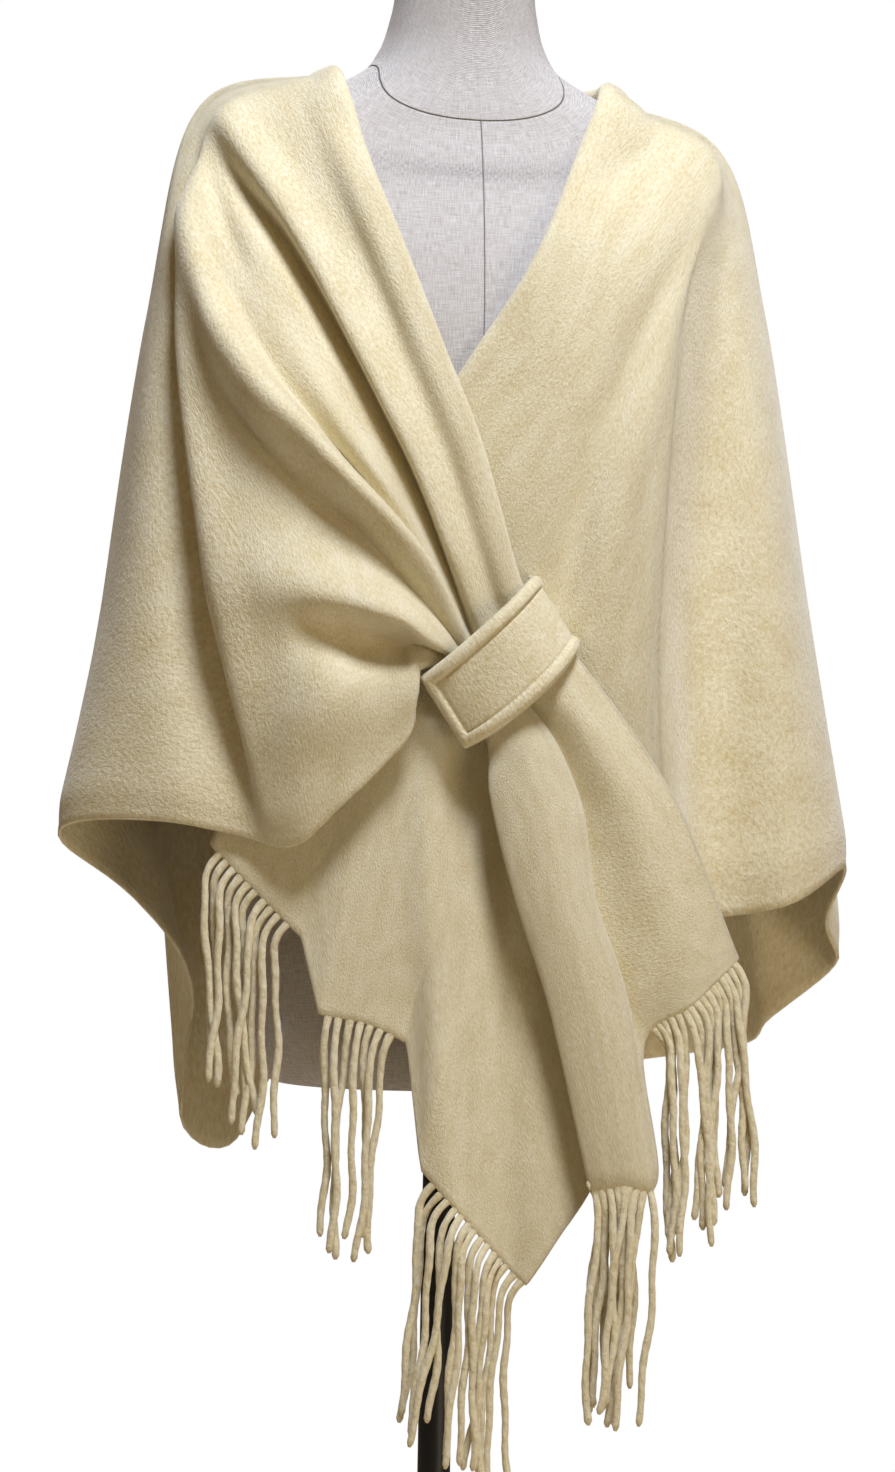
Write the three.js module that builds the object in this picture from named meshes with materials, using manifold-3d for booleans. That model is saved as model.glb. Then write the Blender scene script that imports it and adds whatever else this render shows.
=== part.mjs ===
// A fringed shawl of brushed wool, worn as a poncho on a linen dress form with a pole stand.
// Millimetres, +Z up. The form faces -Y and the origin is on the floor, on the pole's axis.
// Left and right are the wearer's, so the left front is on the +X side.
import * as THREE from "three";
import Module from "manifold-3d";
import { mergeVertices } from "three/addons/utils/BufferGeometryUtils.js";

const wasm = await Module();
wasm.setup();

// Cloth
const CLOTH = 2.6;
const SEAM_GAP = 0.6;
const REST_GAP = 0.6;

// The neck edge rolls under
const CURL_RADIUS = 4.5;
const CURL_TURN = Math.PI * 0.95;
const CURL_T = 0.03;
const CURL_EASE = 0.16;
const CURL_LIFT = 9.7;

// The free hem tucks under from HEM_T down, between these places along s
const HEM_TUCK = 3.5;
const HEM_T = 0.95;
const HEM_FROM = [560, 620];
const HEM_TO = [1380, 1460];

// Fringe
const STRIP_WIDTH = 4.5;
const STRAND_LENGTH = 158;
const STRANDS_PER_END = 54;
const STAGGER = 2.8;
const STAGGER_PLACE = 0.25;
const SWAY = 1.2;
const STEEP = 0.8;
const LAP_T = 0.035;
const WALK_STEPS = 200;
const UNEVEN_LENGTH = 0.06;
const NEAR_PLACES = 5;

// Stand
const BASE_RADIUS = 190;
const BASE_HEIGHT = 10;
const BASE_EDGE = 3;
const POLE_RADIUS = 12;
const COLLAR_RADIUS = 24;
const COLLAR_HEIGHT = 28;
const COLLAR_EDGE = 6;
const TOUCH_GAP = 0.3;
const CAP_RADIUS = 50;
const CAP_HEIGHT = 13;
const CAP_WALL = 5;
const CAP_SHOULDER = 9;
const CAP_ROUNDING = 6;
const BASE_SIDES = 40;
const POLE_SIDES = 20;
const CAP_SIDES = 28;

// The dress form: half width, front and back depth at each height, and how far the neck leans forward
const FORM = [
  { z: 705, side: 126, front: 80, back: 84, lean: 0 },
  { z: 716, side: 134, front: 87, back: 92, lean: 0 },
  { z: 770, side: 150, front: 94, back: 104, lean: 0 },
  { z: 850, side: 155, front: 92, back: 106, lean: 0 },
  { z: 930, side: 138, front: 84, back: 96, lean: 0 },
  { z: 1010, side: 122, front: 78, back: 86, lean: 0 },
  { z: 1090, side: 132, front: 86, back: 90, lean: 0 },
  { z: 1170, side: 148, front: 98, back: 96, lean: 0 },
  { z: 1235, side: 158, front: 103, back: 100, lean: 0 },
  { z: 1290, side: 170, front: 96, back: 104, lean: 0 },
  { z: 1335, side: 181, front: 84, back: 100, lean: 0 },
  { z: 1365, side: 182, front: 74, back: 90, lean: 0 },
  { z: 1385, side: 168, front: 68, back: 82, lean: -1 },
  { z: 1402, side: 138, front: 65, back: 75, lean: -2 },
  { z: 1420, side: 99, front: 61, back: 67, lean: -3 },
  { z: 1434, side: 73, front: 58, back: 61, lean: -5 },
  { z: 1450, side: 61, front: 54, back: 56, lean: -8 },
  { z: 1474, side: 53, front: 50, back: 52, lean: -14 },
  { z: 1540, side: 50, front: 47, back: 49, lean: -26 },
];
const FORM_ROUNDNESS = 2.25;
const FORM_SIDES = 28;
const EXTRA_HEIGHTS = [1265, 1315, 1350, 1376, 1394, 1411, 1427, 1442];
const FORM_BOTTOM = FORM[0].z;
const NECK_TOP = FORM[FORM.length - 1].z;

// Sections across the shawl, one for each place along it. s runs from the fringed end of the left front
// round the left side, the back and the right side to the strap. Each section has five points, from the
// neck edge to the outer hem.
const SECTIONS = [
  { s: 0, neck: [-173, -82, 874], upper: [-112, -102, 794], middle: [-62, -114, 732],
    lower: [-11, -119, 654], hem: [46, -120, 576] },
  { s: 100, neck: [-144, -86, 946], upper: [-92, -102, 875], middle: [-46, -113, 807],
    lower: [5, -116, 731], hem: [67, -118, 608] },
  { s: 200, neck: [-112, -95, 1012], upper: [-66, -104, 948], middle: [-28, -108, 886],
    lower: [23, -110, 814], hem: [90, -114, 641] },
  { s: 300, neck: [-69, -104, 1086], upper: [-30, -105, 1014], middle: [2, -101, 953],
    lower: [49, -102, 877], hem: [108, -108, 682] },
  { s: 370, neck: [-33, -109, 1162], upper: [8, -108, 1088], middle: [39, -104, 1016],
    lower: [80, -102, 912], hem: [126, -105, 737] },
  { s: 430, neck: [-3, -112, 1211], upper: [41, -114, 1141], middle: [70, -110, 1058],
    lower: [104, -105, 933], hem: [136, -103, 786] },
  { s: 490, neck: [39, -116, 1278], upper: [86, -115, 1212], middle: [106, -113, 1108],
    lower: [123, -106, 955], hem: [143, -100, 818] },
  { s: 545, neck: [64, -98, 1329], upper: [128, -96, 1294], middle: [135, -106, 1179],
    lower: [132, -102, 1004], hem: [146, -96, 825] },
  { s: 595, neck: [94, -50, 1405], upper: [180, -42, 1371], middle: [154, -86, 1259],
    lower: [143, -94, 1046], hem: [158, -92, 828] },
  { s: 635, neck: [99, -32, 1415], upper: [185, -30, 1378], middle: [182, -60, 1258],
    lower: [180, -66, 1056], hem: [191, -70, 829] },
  { s: 670, neck: [101, -16, 1420], upper: [189, -16, 1382], middle: [203, -46, 1262],
    lower: [219, -66, 1057], hem: [239, -72, 838] },
  { s: 735, neck: [103, 0, 1425], upper: [193, 0, 1386], middle: [231, 0, 1267],
    lower: [269, 0, 1046], hem: [304, 0, 862] },
  { s: 775, neck: [95, 24, 1430], upper: [190, 36, 1370], middle: [234, 36, 1248],
    lower: [277, 40, 1025], hem: [303, 45, 825] },
  { s: 820, neck: [82, 46, 1432], upper: [178, 70, 1344], middle: [228, 70, 1222],
    lower: [282, 82, 1000], hem: [311, 87, 784] },
  { s: 860, neck: [66, 64, 1433], upper: [154, 92, 1340], middle: [200, 102, 1205],
    lower: [250, 118, 980], hem: [288, 118, 748] },
  { s: 900, neck: [50, 76, 1434], upper: [128, 104, 1342], middle: [164, 124, 1190],
    lower: [210, 138, 960], hem: [256, 140, 716] },
  { s: 985, neck: [0, 86, 1436], upper: [0, 112, 1348], middle: [0, 128, 1190],
    lower: [0, 142, 950], hem: [0, 156, 696] },
  { s: 1052, neck: [-36, 80, 1435], upper: [-86, 108, 1346], middle: [-108, 128, 1190],
    lower: [-116, 143, 945], hem: [-120, 151, 690] },
  { s: 1078, neck: [-48, 74, 1434], upper: [-112, 103, 1345], middle: [-142, 122, 1192],
    lower: [-148, 137, 940], hem: [-138, 142, 640] },
  { s: 1115, neck: [-64, 62, 1434], upper: [-147, 92, 1344], middle: [-184, 106, 1206],
    lower: [-196, 122, 960], hem: [-178, 130, 656] },
  { s: 1150, neck: [-78, 46, 1434], upper: [-172, 72, 1348], middle: [-212, 76, 1225],
    lower: [-230, 94, 1000], hem: [-184, 110, 752] },
  { s: 1190, neck: [-88, 24, 1434], upper: [-187, 38, 1376], middle: [-222, 40, 1242],
    lower: [-247, 50, 1022], hem: [-229, 54, 832] },
  { s: 1230, neck: [-95, 0, 1433], upper: [-189, 0, 1399], middle: [-223, 0, 1254],
    lower: [-252, 0, 1041], hem: [-282, 0, 877] },
  { s: 1300, neck: [-95, -20, 1428], upper: [-187, -14, 1397], middle: [-211, -42, 1249],
    lower: [-214, -66, 1043], hem: [-208, -80, 893] },
  { s: 1340, neck: [-94, -36, 1422], upper: [-181, -24, 1393], middle: [-185, -48, 1245],
    lower: [-156, -76, 1040], hem: [-152, -96, 883] },
  { s: 1365, neck: [-93, -50, 1413], upper: [-175, -34, 1388], middle: [-206, -62, 1250],
    lower: [-179, -98, 1040], hem: [-135, -107, 877] },
  { s: 1400, neck: [-80, -88, 1359], upper: [-148, -66, 1335], middle: [-185, -88, 1221],
    lower: [-149, -116, 1047], hem: [-117, -119, 881] },
  { s: 1450, neck: [-55, -114, 1290], upper: [-112, -94, 1263], middle: [-154, -114, 1181],
    lower: [-113, -130, 1050], hem: [-89, -126, 908] },
  { s: 1500, neck: [-28, -128, 1220], upper: [-73, -118, 1182], middle: [-111, -128, 1149],
    lower: [-79, -134, 1047], hem: [-62, -128, 935] },
  { s: 1545, neck: [-1, -134, 1152], upper: [-41, -124, 1119], middle: [-65, -134, 1105],
    lower: [-53, -136, 1039], hem: [-42, -126, 963] },
  { s: 1575, neck: [16, -134, 1096], upper: [-18, -125, 1068], middle: [-31, -132, 1065],
    lower: [-34, -134, 1026], hem: [-44, -124, 995] },
  { s: 1600, neck: [27, -131, 1063], upper: [0, -122, 1027], middle: [-9, -130, 1021],
    lower: [-16, -130, 1014], hem: [-29, -122, 1004] },
  { s: 1640, neck: [45, -127, 1037], upper: [17, -122, 1003], middle: [9, -128, 997],
    lower: [1, -128, 990], hem: [-11, -120, 980] },
];
const SECTION_POINTS = ["neck", "upper", "middle", "lower", "hem"];
const STRAP_S = 1640;

// Folds of the two fronts. Each follows a path of rows [s, t, width, rise]: where its crest runs, t being 0
// at the neck edge and 1 at the hem, how wide it is as a share of t, and how far it rises out of the cloth,
// or sinks where that is negative. A crest with a lean hangs over its side, towards the hem where the lean
// is positive.
const FOLDS = [
  { name: "neck roll", lean: 0, path: [
    [1290, 0.05, 0.05, 0], [1350, 0.05, 0.05, 4], [1640, 0.05, 0.055, 4]
  ] },
  { name: "soft hollow beside it", lean: 0, path: [
    [1340, 0.06, 0.04, 0], [1400, 0.08, 0.03, -2.5], [1500, 0.09, 0.03, -3], [1640, 0.1, 0.03, -1]
  ] },
  { name: "shoulder ridge", lean: 8, path: [
    [1345, 0.24, 0.04, 0], [1375, 0.235, 0.04, 7], [1405, 0.21, 0.045, 12], [1440, 0.19, 0.047, 14],
    [1500, 0.172, 0.05, 15], [1560, 0.17, 0.055, 11], [1600, 0.18, 0.06, 5], [1640, 0.18, 0.06, 4]
  ] },
  { name: "shoulder crease", lean: 4, path: [
    [1350, 0.29, 0.03, 0], [1380, 0.29, 0.03, -7], [1420, 0.262, 0.028, -13], [1460, 0.25, 0.03, -13.5],
    [1500, 0.24, 0.033, -13.5], [1545, 0.24, 0.036, -13], [1600, 0.265, 0.04, -5], [1640, 0.27, 0.04, -4]
  ] },
  { name: "faint crease", lean: 0, path: [
    [1350, 0.31, 0.02, 0], [1370, 0.32, 0.02, -3], [1400, 0.35, 0.02, -4], [1430, 0.36, 0.02, 0]
  ] },
  { name: "inner ridge", lean: 2, path: [
    [1440, 0.36, 0.03, 0], [1480, 0.365, 0.03, 4], [1510, 0.38, 0.032, 6], [1535, 0.385, 0.035, 5],
    [1560, 0.39, 0.04, 2], [1580, 0.39, 0.04, 0]
  ] },
  { name: "hollow before the arm ridge", lean: 0, path: [
    [1380, 0.4, 0.035, 0], [1430, 0.41, 0.03, -5], [1480, 0.43, 0.032, -7], [1520, 0.44, 0.035, -6.5],
    [1560, 0.44, 0.04, -2.5], [1600, 0.45, 0.04, 0]
  ] },
  { name: "arm ridge", lean: -6, path: [
    [1345, 0.36, 0.04, 0], [1375, 0.41, 0.045, 10], [1400, 0.455, 0.045, 15], [1440, 0.475, 0.045, 17],
    [1485, 0.5, 0.044, 16], [1520, 0.525, 0.046, 13], [1550, 0.525, 0.05, 10], [1600, 0.52, 0.06, 4],
    [1640, 0.51, 0.06, 3.5]
  ] },
  { name: "crease under the arm ridge", lean: 0, path: [
    [1400, 0.55, 0.03, 0], [1430, 0.555, 0.03, -5], [1480, 0.595, 0.03, -8], [1540, 0.61, 0.036, -7.5],
    [1570, 0.63, 0.036, -6], [1610, 0.63, 0.03, -3], [1640, 0.63, 0.03, -1]
  ] },
  { name: "bowl", lean: 0, path: [
    [1370, 0.6, 0.07, 0], [1400, 0.6, 0.08, -6], [1450, 0.62, 0.08, -11], [1500, 0.64, 0.07, -11],
    [1545, 0.66, 0.06, -9], [1590, 0.68, 0.04, 0]
  ] },
  { name: "level ridge", lean: 9, path: [
    [1355, 0.73, 0.045, 0], [1385, 0.73, 0.045, 5], [1420, 0.735, 0.038, 9], [1475, 0.738, 0.033, 15],
    [1510, 0.74, 0.034, 16], [1560, 0.745, 0.04, 10], [1600, 0.755, 0.06, 3.5], [1640, 0.75, 0.06, 2.5]
  ] },
  { name: "hollow under the level ridge", lean: 0, path: [
    [1420, 0.8, 0.03, 0], [1455, 0.805, 0.032, -8], [1490, 0.815, 0.034, -15], [1525, 0.825, 0.037, -18],
    [1570, 0.84, 0.038, -11], [1605, 0.85, 0.03, -4], [1630, 0.85, 0.03, 0]
  ] },
  { name: "lower bulge", lean: 0, path: [
    [1380, 0.9, 0.06, 0], [1410, 0.89, 0.06, 7], [1440, 0.88, 0.06, 12], [1480, 0.89, 0.055, 8],
    [1520, 0.9, 0.05, 0]
  ] },
  { name: "hem curl", lean: 0, path: [
    [1500, 0.93, 0.045, 0], [1545, 0.93, 0.05, 4.5], [1580, 0.93, 0.055, 4], [1610, 0.93, 0.055, 5],
    [1640, 0.93, 0.055, 3]
  ] },
  { name: "left front's ridge", lean: 0, path: [
    [0, 0.75, 0.07, 8], [160, 0.55, 0.07, 6], [300, 0.38, 0.07, 3], [350, 0.33, 0.07, 0]
  ] },
  { name: "left front's hollow", lean: 0, path: [
    [0, 0.95, 0.06, -8], [160, 0.8, 0.06, -7], [320, 0.64, 0.06, -5], [370, 0.6, 0.06, 0]
  ] },
  { name: "slant over the strap", lean: 0, path: [
    [400, 0.55, 0.06, 0], [430, 0.48, 0.06, -5], [480, 0.34, 0.06, -7], [540, 0.32, 0.055, -5],
    [580, 0.33, 0.05, 0]
  ] },
  { name: "slant beside it", lean: 0, path: [
    [400, 0.66, 0.06, 0], [440, 0.57, 0.06, 4], [500, 0.46, 0.06, 5], [560, 0.42, 0.06, 0]
  ] },
];

// Flutes that hang down the back and the sides. Each is centred at s, and grows from start to the hem.
const FLUTES = [
  { name: "left front edge", s: 592, width: 28, rise: 2, start: 0.3 },
  { name: "left arm hollow", s: 636, width: 32, rise: -13, start: 0.15 },
  { name: "left back", s: 826, width: 24, rise: 14, start: 0.25 },
  { name: "left back hollow", s: 872, width: 20, rise: -17, start: 0.3 },
  { name: "left blade", s: 915, width: 20, rise: 20, start: 0.3 },
  { name: "middle hollow", s: 958, width: 20, rise: -18, start: 0.22 },
  { name: "right blade", s: 1002, width: 20, rise: 20, start: 0.3 },
  { name: "right back hollow", s: 1044, width: 18, rise: -17, start: 0.28 },
  { name: "right back", s: 1096, width: 24, rise: 15, start: 0.3 },
  { name: "right arm hollow", s: 1166, width: 22, rise: -9, start: 0.4 },
];

// Steps of the left front's fringed end, where the cloth laps forward over itself
const STEPS = [
  { name: "corner", t: 0, lift: 0, forward: -4 },
  { name: "before the first lap", t: 0.245, lift: 19, forward: -6 },
  { name: "after the first lap", t: 0.3, lift: -18, forward: 3 },
  { name: "before the second lap", t: 0.61, lift: 44, forward: -6 },
  { name: "after the second lap", t: 0.66, lift: -26, forward: 5 },
  { name: "bottom corner", t: 1, lift: 0, forward: 0 },
];
const STEP_REACH = 200;

// Sections of the tail below the strap, from the strap to its fringed end: the outer lobe's edge and
// crown, the valley between the lobes, the inner lobe's edge, crown and far edge, and the return behind
const TAIL = [
  { s: 40, edge: [68, -126, 1013], crown: [56, -134, 989], valley: [45, -124, 974],
    inner: [41, -131, 970], innerCrown: [25, -137, 962], innerEdge: [10, -127, 954],
    back: [21, -118, 960] },
  { s: 110, edge: [137, -128, 919], crown: [103, -138, 916], valley: [76, -123, 910],
    inner: [72, -134, 912], innerCrown: [42, -145, 912], innerEdge: [13, -132, 913],
    back: [44, -121, 912] },
  { s: 180, edge: [171, -126, 844], crown: [131, -138, 845], valley: [88, -124, 840],
    inner: [84, -138, 844], innerCrown: [57, -148, 841], innerEdge: [31, -136, 843],
    back: [61, -124, 839] },
  { s: 240, edge: [183, -124, 816], crown: [149, -137, 800], valley: [104, -125, 779],
    inner: [108, -140, 775], innerCrown: [81, -148, 769], innerEdge: [56, -138, 768],
    back: [83, -126, 768] },
  { s: 300, edge: [189, -124, 802], crown: [156, -137, 773], valley: [124, -126, 743],
    inner: [132, -140, 652], innerCrown: [107, -147, 649], innerEdge: [86, -138, 646],
    back: [108, -127, 668] },
];
const TAIL_POINTS = ["edge", "crown", "valley", "inner", "innerCrown", "innerEdge", "back"];
const TAIL_START = [0, 0.13, 0.24, 0.4, 0.6, 0.82, 1];
const TAIL_END = 300;

// The strap's middle line over the gathered cloth, from its free end to where it is sewn down behind
const STRAP_LINE = [
  [-21, -127, 971], [-8, -138, 983], [9, -145, 999], [26, -147, 1015],
  [41, -142, 1029], [52, -132, 1040], [56, -121, 1043], [55, -113.2, 1043],
];
const STRAP_WIDTH = 56;
const STRAP_ACROSS = new THREE.Vector3(33, 0, -50).normalize();
const STRAP_THICKNESS = 3;
const WELT_WIDTH = 8;
const WELT_RISE = 2;
const WELT_STEP = 2;
const STRAP_BULGE = 6;
const LOW_SIDE_BULGE = 0.2;
const STRAP_STEPS = 11;

// Steps for a surface's directions and for the way out of the form, and the rise too slight to matter
const S_PROBE = 2;
const T_PROBE = 0.004;
const T_REACH = 0.01;
const POINT_PROBE = 0.5;
const CLEAR_PASSES = 5;
const SLIGHT = 0.01;

const vector = (point) => new THREE.Vector3(point[0], point[1], point[2]);
const mix = THREE.MathUtils.lerp;

// A smooth value between the rows of a table, by Hermite curves whose slopes come from the neighbours.
function curveAt(places, values, place) {
  const last = places.length - 1;
  let index = 0;
  while (index < last - 1 && place > places[index + 1]) index += 1;
  const rate = (at) => values[at + 1].clone().sub(values[at]).divideScalar(places[at + 1] - places[at]);
  const slope = (at) => {
    if (at === 0) return rate(0);
    if (at === last) return rate(last - 1);
    const before = places[at] - places[at - 1];
    const after = places[at + 1] - places[at];
    return rate(at - 1).multiplyScalar(after).addScaledVector(rate(at), before).divideScalar(before + after);
  };
  const span = places[index + 1] - places[index];
  const u = (place - places[index]) / span;
  const point = values[index].clone().multiplyScalar(2 * u ** 3 - 3 * u ** 2 + 1);
  point.addScaledVector(slope(index), (u ** 3 - 2 * u ** 2 + u) * span);
  point.addScaledVector(values[index + 1], 3 * u ** 2 - 2 * u ** 3);
  point.addScaledVector(slope(index + 1), (u ** 3 - u ** 2) * span);
  return point;
}

function stepBetween(low, high, value) {
  return THREE.MathUtils.smoothstep(value, low, high);
}

const bell = (distance) => Math.exp(-distance * distance);

// The dress form's half width, front and back depth at a height
const formHeights = FORM.map((row) => row.z);
const formSizes = FORM.map((row) => new THREE.Vector3(row.side, row.front, row.back));
const formLeans = FORM.map((row) => new THREE.Vector3(0, row.lean, 0));
const formAt = (z) => curveAt(formHeights, formSizes, THREE.MathUtils.clamp(z, FORM_BOTTOM, NECK_TOP));
const leanAt = (z) => curveAt(formHeights, formLeans, THREE.MathUtils.clamp(z, FORM_BOTTOM, NECK_TOP)).y;

// How far a point lies outside the form, as the share of the section's own radius
function outsideForm(point) {
  const size = formAt(point.z);
  const y = point.y - leanAt(point.z);
  const depth = y < 0 ? size.y : size.z;
  const across = Math.abs(point.x / size.x) ** FORM_ROUNDNESS + Math.abs(y / depth) ** FORM_ROUNDNESS;
  return across ** (1 / FORM_ROUNDNESS) - 1;
}

// Moves a point out of the form until it is the clearance away from it.
function clearForm(point, clearance) {
  const axes = [new THREE.Vector3(1, 0, 0), new THREE.Vector3(0, 1, 0), new THREE.Vector3(0, 0, 1)];
  for (let pass = 0; pass < CLEAR_PASSES; pass += 1) {
    const here = outsideForm(point);
    const gradient = vector(axes.map((axis) => {
      return (outsideForm(point.clone().addScaledVector(axis, POINT_PROBE)) - here) / POINT_PROBE;
    }));
    const distance = here / gradient.length();
    if (distance >= clearance) return point;
    point.addScaledVector(gradient.normalize(), clearance - distance);
  }
  return point;
}

const sectionPlaces = SECTIONS.map((row) => row.s);
const columnPlaces = SECTION_POINTS.map((name, index) => index / (SECTION_POINTS.length - 1));
const sectionColumns = SECTION_POINTS.map((name) => SECTIONS.map((row) => vector(row[name])));
const stepPlaces = STEPS.map((row) => row.t);

// The shawl's middle surface before its folds
function plainShawl(s, t) {
  const columns = sectionColumns.map((values) => curveAt(sectionPlaces, values, s));
  const point = curveAt(columnPlaces, columns, t);
  const fade = 1 - stepBetween(0, STEP_REACH, s);
  if (fade > 0) {
    let index = 0;
    while (index < STEPS.length - 2 && t > stepPlaces[index + 1]) index += 1;
    const u = (t - stepPlaces[index]) / (stepPlaces[index + 1] - stepPlaces[index]);
    point.z += fade * mix(STEPS[index].lift, STEPS[index + 1].lift, u);
    point.y -= fade * mix(STEPS[index].forward, STEPS[index + 1].forward, u);
  }
  return point;
}

// A surface's outward normal, and its direction along t
function directions(surface, s, t) {
  const alongS = surface(s + S_PROBE, t).sub(surface(s - S_PROBE, t));
  const alongT = surface(s, t + T_PROBE).sub(surface(s, t - T_PROBE)).normalize();
  return { normal: alongT.clone().cross(alongS).normalize(), alongT };
}

const foldCurves = FOLDS.map(({ lean, path }) => {
  const highest = Math.max(...path.map((row) => Math.abs(row[3])));
  return {
    start: path[0][0],
    end: path[path.length - 1][0],
    tilt: lean / highest,
    places: path.map((row) => row[0]),
    values: path.map((row) => new THREE.Vector3(row[1], row[2], row[3])),
  };
});

// How far the folds lift the cloth at a place, and how far they shift it towards the hem
function foldShape(s, t) {
  let rise = 0;
  let shift = 0;
  for (const { start, end, tilt, places, values } of foldCurves) {
    if (s < start || (s > end && end < STRAP_S)) continue;
    const { x: crest, y: width, z: height } = curveAt(places, values, Math.min(s, end));
    const share = height * bell((t - crest) / width);
    rise += share;
    shift += tilt * share;
  }
  for (const flute of FLUTES) {
    rise += flute.rise * stepBetween(flute.start, 1, t) * bell((s - flute.s) / flute.width);
  }
  return { rise, shift };
}

// How far the hem tucks under, where it hangs free
function hemTuck(s, t) {
  const along = stepBetween(...HEM_FROM, s) * (1 - stepBetween(...HEM_TO, s));
  return HEM_TUCK * stepBetween(HEM_T, 1, t) ** 2 * along;
}

// The shawl's middle surface with its folds, clear of the form. Its neck edge stands off by its curl.
function spread(s, t) {
  const point = plainShawl(s, t);
  const { rise: lift, shift } = foldShape(s, t);
  const rise = lift - hemTuck(s, t);
  if (Math.abs(rise) > SLIGHT) {
    const { normal, alongT } = directions(plainShawl, s, t);
    point.addScaledVector(normal, rise).addScaledVector(alongT, shift);
  }
  const curl = CURL_LIFT * (1 - stepBetween(0, CURL_EASE, t));
  return clearForm(point, CLOTH / 2 + REST_GAP + curl);
}

// The whole middle surface: t below 0 is the neck edge, curled under
function shawl(s, t) {
  if (t >= 0) return spread(s, t);
  const edge = spread(s, 0);
  const inward = spread(s, CURL_T / 3).sub(edge).normalize();
  const { normal } = directions((x, y) => spread(x, Math.max(y, 0)), s, 0);
  const turn = Math.min(-t / CURL_T, 1) * CURL_TURN;
  edge.addScaledVector(inward, -CURL_RADIUS * Math.sin(turn));
  return edge.addScaledVector(normal, -CURL_RADIUS * (1 - Math.cos(turn)));
}

const tailPlaces = [0, ...TAIL.map((row) => row.s)];
const tailColumns = TAIL_POINTS.map((name, index) => {
  const start = shawl(STRAP_S, TAIL_START[index]);
  return [start, ...TAIL.map((row) => vector(row[name]))];
});
const tailColumnPlaces = TAIL_POINTS.map((name, index) => index / (TAIL_POINTS.length - 1));

// The tail's middle surface, s from 0 at the strap to TAIL_END at the fringe
function tail(s, t) {
  const columns = tailColumns.map((values) => curveAt(tailPlaces, values, s));
  return curveAt(tailColumnPlaces, columns, t);
}

// A closed wall round a grid of middle points, half its thickness to each side along the normals
function wall(grid, normals, thickness, outerRise = () => 0) {
  const rows = grid.length;
  const columns = grid[0].length;
  const outer = [];
  const inner = [];
  for (let i = 0; i < rows; i += 1) {
    for (let j = 0; j < columns; j += 1) {
      outer.push(grid[i][j].clone().addScaledVector(normals[i][j], thickness / 2 + outerRise(i, j)));
      inner.push(grid[i][j].clone().addScaledVector(normals[i][j], -thickness / 2));
    }
  }
  const positions = [];
  for (const point of [...outer, ...inner]) positions.push(point.x, point.y, point.z);
  const endRow = rows - 1;
  const endColumn = columns - 1;
  const outerAt = (i, j) => i * columns + j;
  const innerAt = (i, j) => rows * columns + i * columns + j;
  const faces = [];
  const quad = (a, b, c, d) => faces.push(a, b, c, a, c, d);
  for (let i = 0; i < endRow; i += 1) {
    for (let j = 0; j < endColumn; j += 1) {
      quad(outerAt(i, j), outerAt(i, j + 1), outerAt(i + 1, j + 1), outerAt(i + 1, j));
      quad(innerAt(i, j), innerAt(i + 1, j), innerAt(i + 1, j + 1), innerAt(i, j + 1));
    }
    quad(outerAt(i, 0), outerAt(i + 1, 0), innerAt(i + 1, 0), innerAt(i, 0));
    quad(outerAt(i + 1, endColumn), outerAt(i, endColumn), innerAt(i, endColumn), innerAt(i + 1, endColumn));
  }
  for (let j = 0; j < endColumn; j += 1) {
    quad(outerAt(0, j + 1), outerAt(0, j), innerAt(0, j), innerAt(0, j + 1));
    quad(outerAt(endRow, j), outerAt(endRow, j + 1), innerAt(endRow, j + 1), innerAt(endRow, j));
  }
  const geometry = new THREE.BufferGeometry();
  geometry.setAttribute("position", new THREE.Float32BufferAttribute(positions, 3));
  geometry.setIndex(faces);
  return geometry;
}

// Places between two ends, at even steps
function evenly(start, end, count) {
  return Array.from({ length: count + 1 }, (unused, index) => mix(start, end, index / count));
}

// A wall over a stretch of a surface
function sheetWall(surface, sPlaces, tPlaces, thickness = CLOTH) {
  const grid = sPlaces.map((s) => tPlaces.map((t) => surface(s, t)));
  const normals = sPlaces.map((s) => tPlaces.map((t) => directions(surface, s, t).normal));
  return wall(grid, normals, thickness);
}

function finished(geometry, name, color, roughness) {
  const mesh = new THREE.Mesh(geometry, new THREE.MeshStandardMaterial({ color, roughness, metalness: 0 }));
  geometry.computeVertexNormals();
  mesh.name = name;
  return mesh;
}

const WOOL = 0xe9dfb8;
const LINEN = 0xd9d1cb;
const BLACK = 0x141414;
const NAP_ROUGHNESS = 0.95;
const LINEN_ROUGHNESS = 0.9;
const PAINT_ROUGHNESS = 0.45;

// Places across the cloth: the fronts' fold lines, and the laps of the fringed end
const CURL = [-0.03, -0.02, -0.01];
const FRONT_T = [...CURL, 0, 0.035, 0.07, 0.105, 0.14, 0.17, 0.195, 0.215, 0.235, 0.26, 0.285, 0.315,
  0.345, 0.375, 0.405, 0.435, 0.465, 0.495, 0.525, 0.555, 0.59, 0.63, 0.665, 0.695, 0.72, 0.745, 0.77,
  0.795, 0.825, 0.86, 0.9, 0.95, 1];
const LEFT_T = [...CURL, 0, 0.08, 0.16, 0.245, 0.3, 0.4, 0.5, 0.61, 0.635, 0.66, 0.75, 0.84, 0.95, 1];
const BACK_T = [...CURL, ...evenly(0, 0.95, 10), 1];
const BACK_START = 735;
const BACK_END = 1230;
const LEFT_PLACES = [...evenly(0, 560, 15), ...evenly(578, BACK_START - SEAM_GAP, 8)];
const TAIL_PLACES = evenly(0.9, TAIL_END, 12);
const TAIL_T = evenly(0, 1, 24);

function leftFrontPanel() {
  return finished(sheetWall(shawl, LEFT_PLACES, LEFT_T), "left_front_panel", WOOL, NAP_ROUGHNESS);
}

function backPanel() {
  const places = evenly(BACK_START + SEAM_GAP, BACK_END - SEAM_GAP, 28);
  return finished(sheetWall(shawl, places, BACK_T), "back_panel", WOOL, NAP_ROUGHNESS);
}

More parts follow.
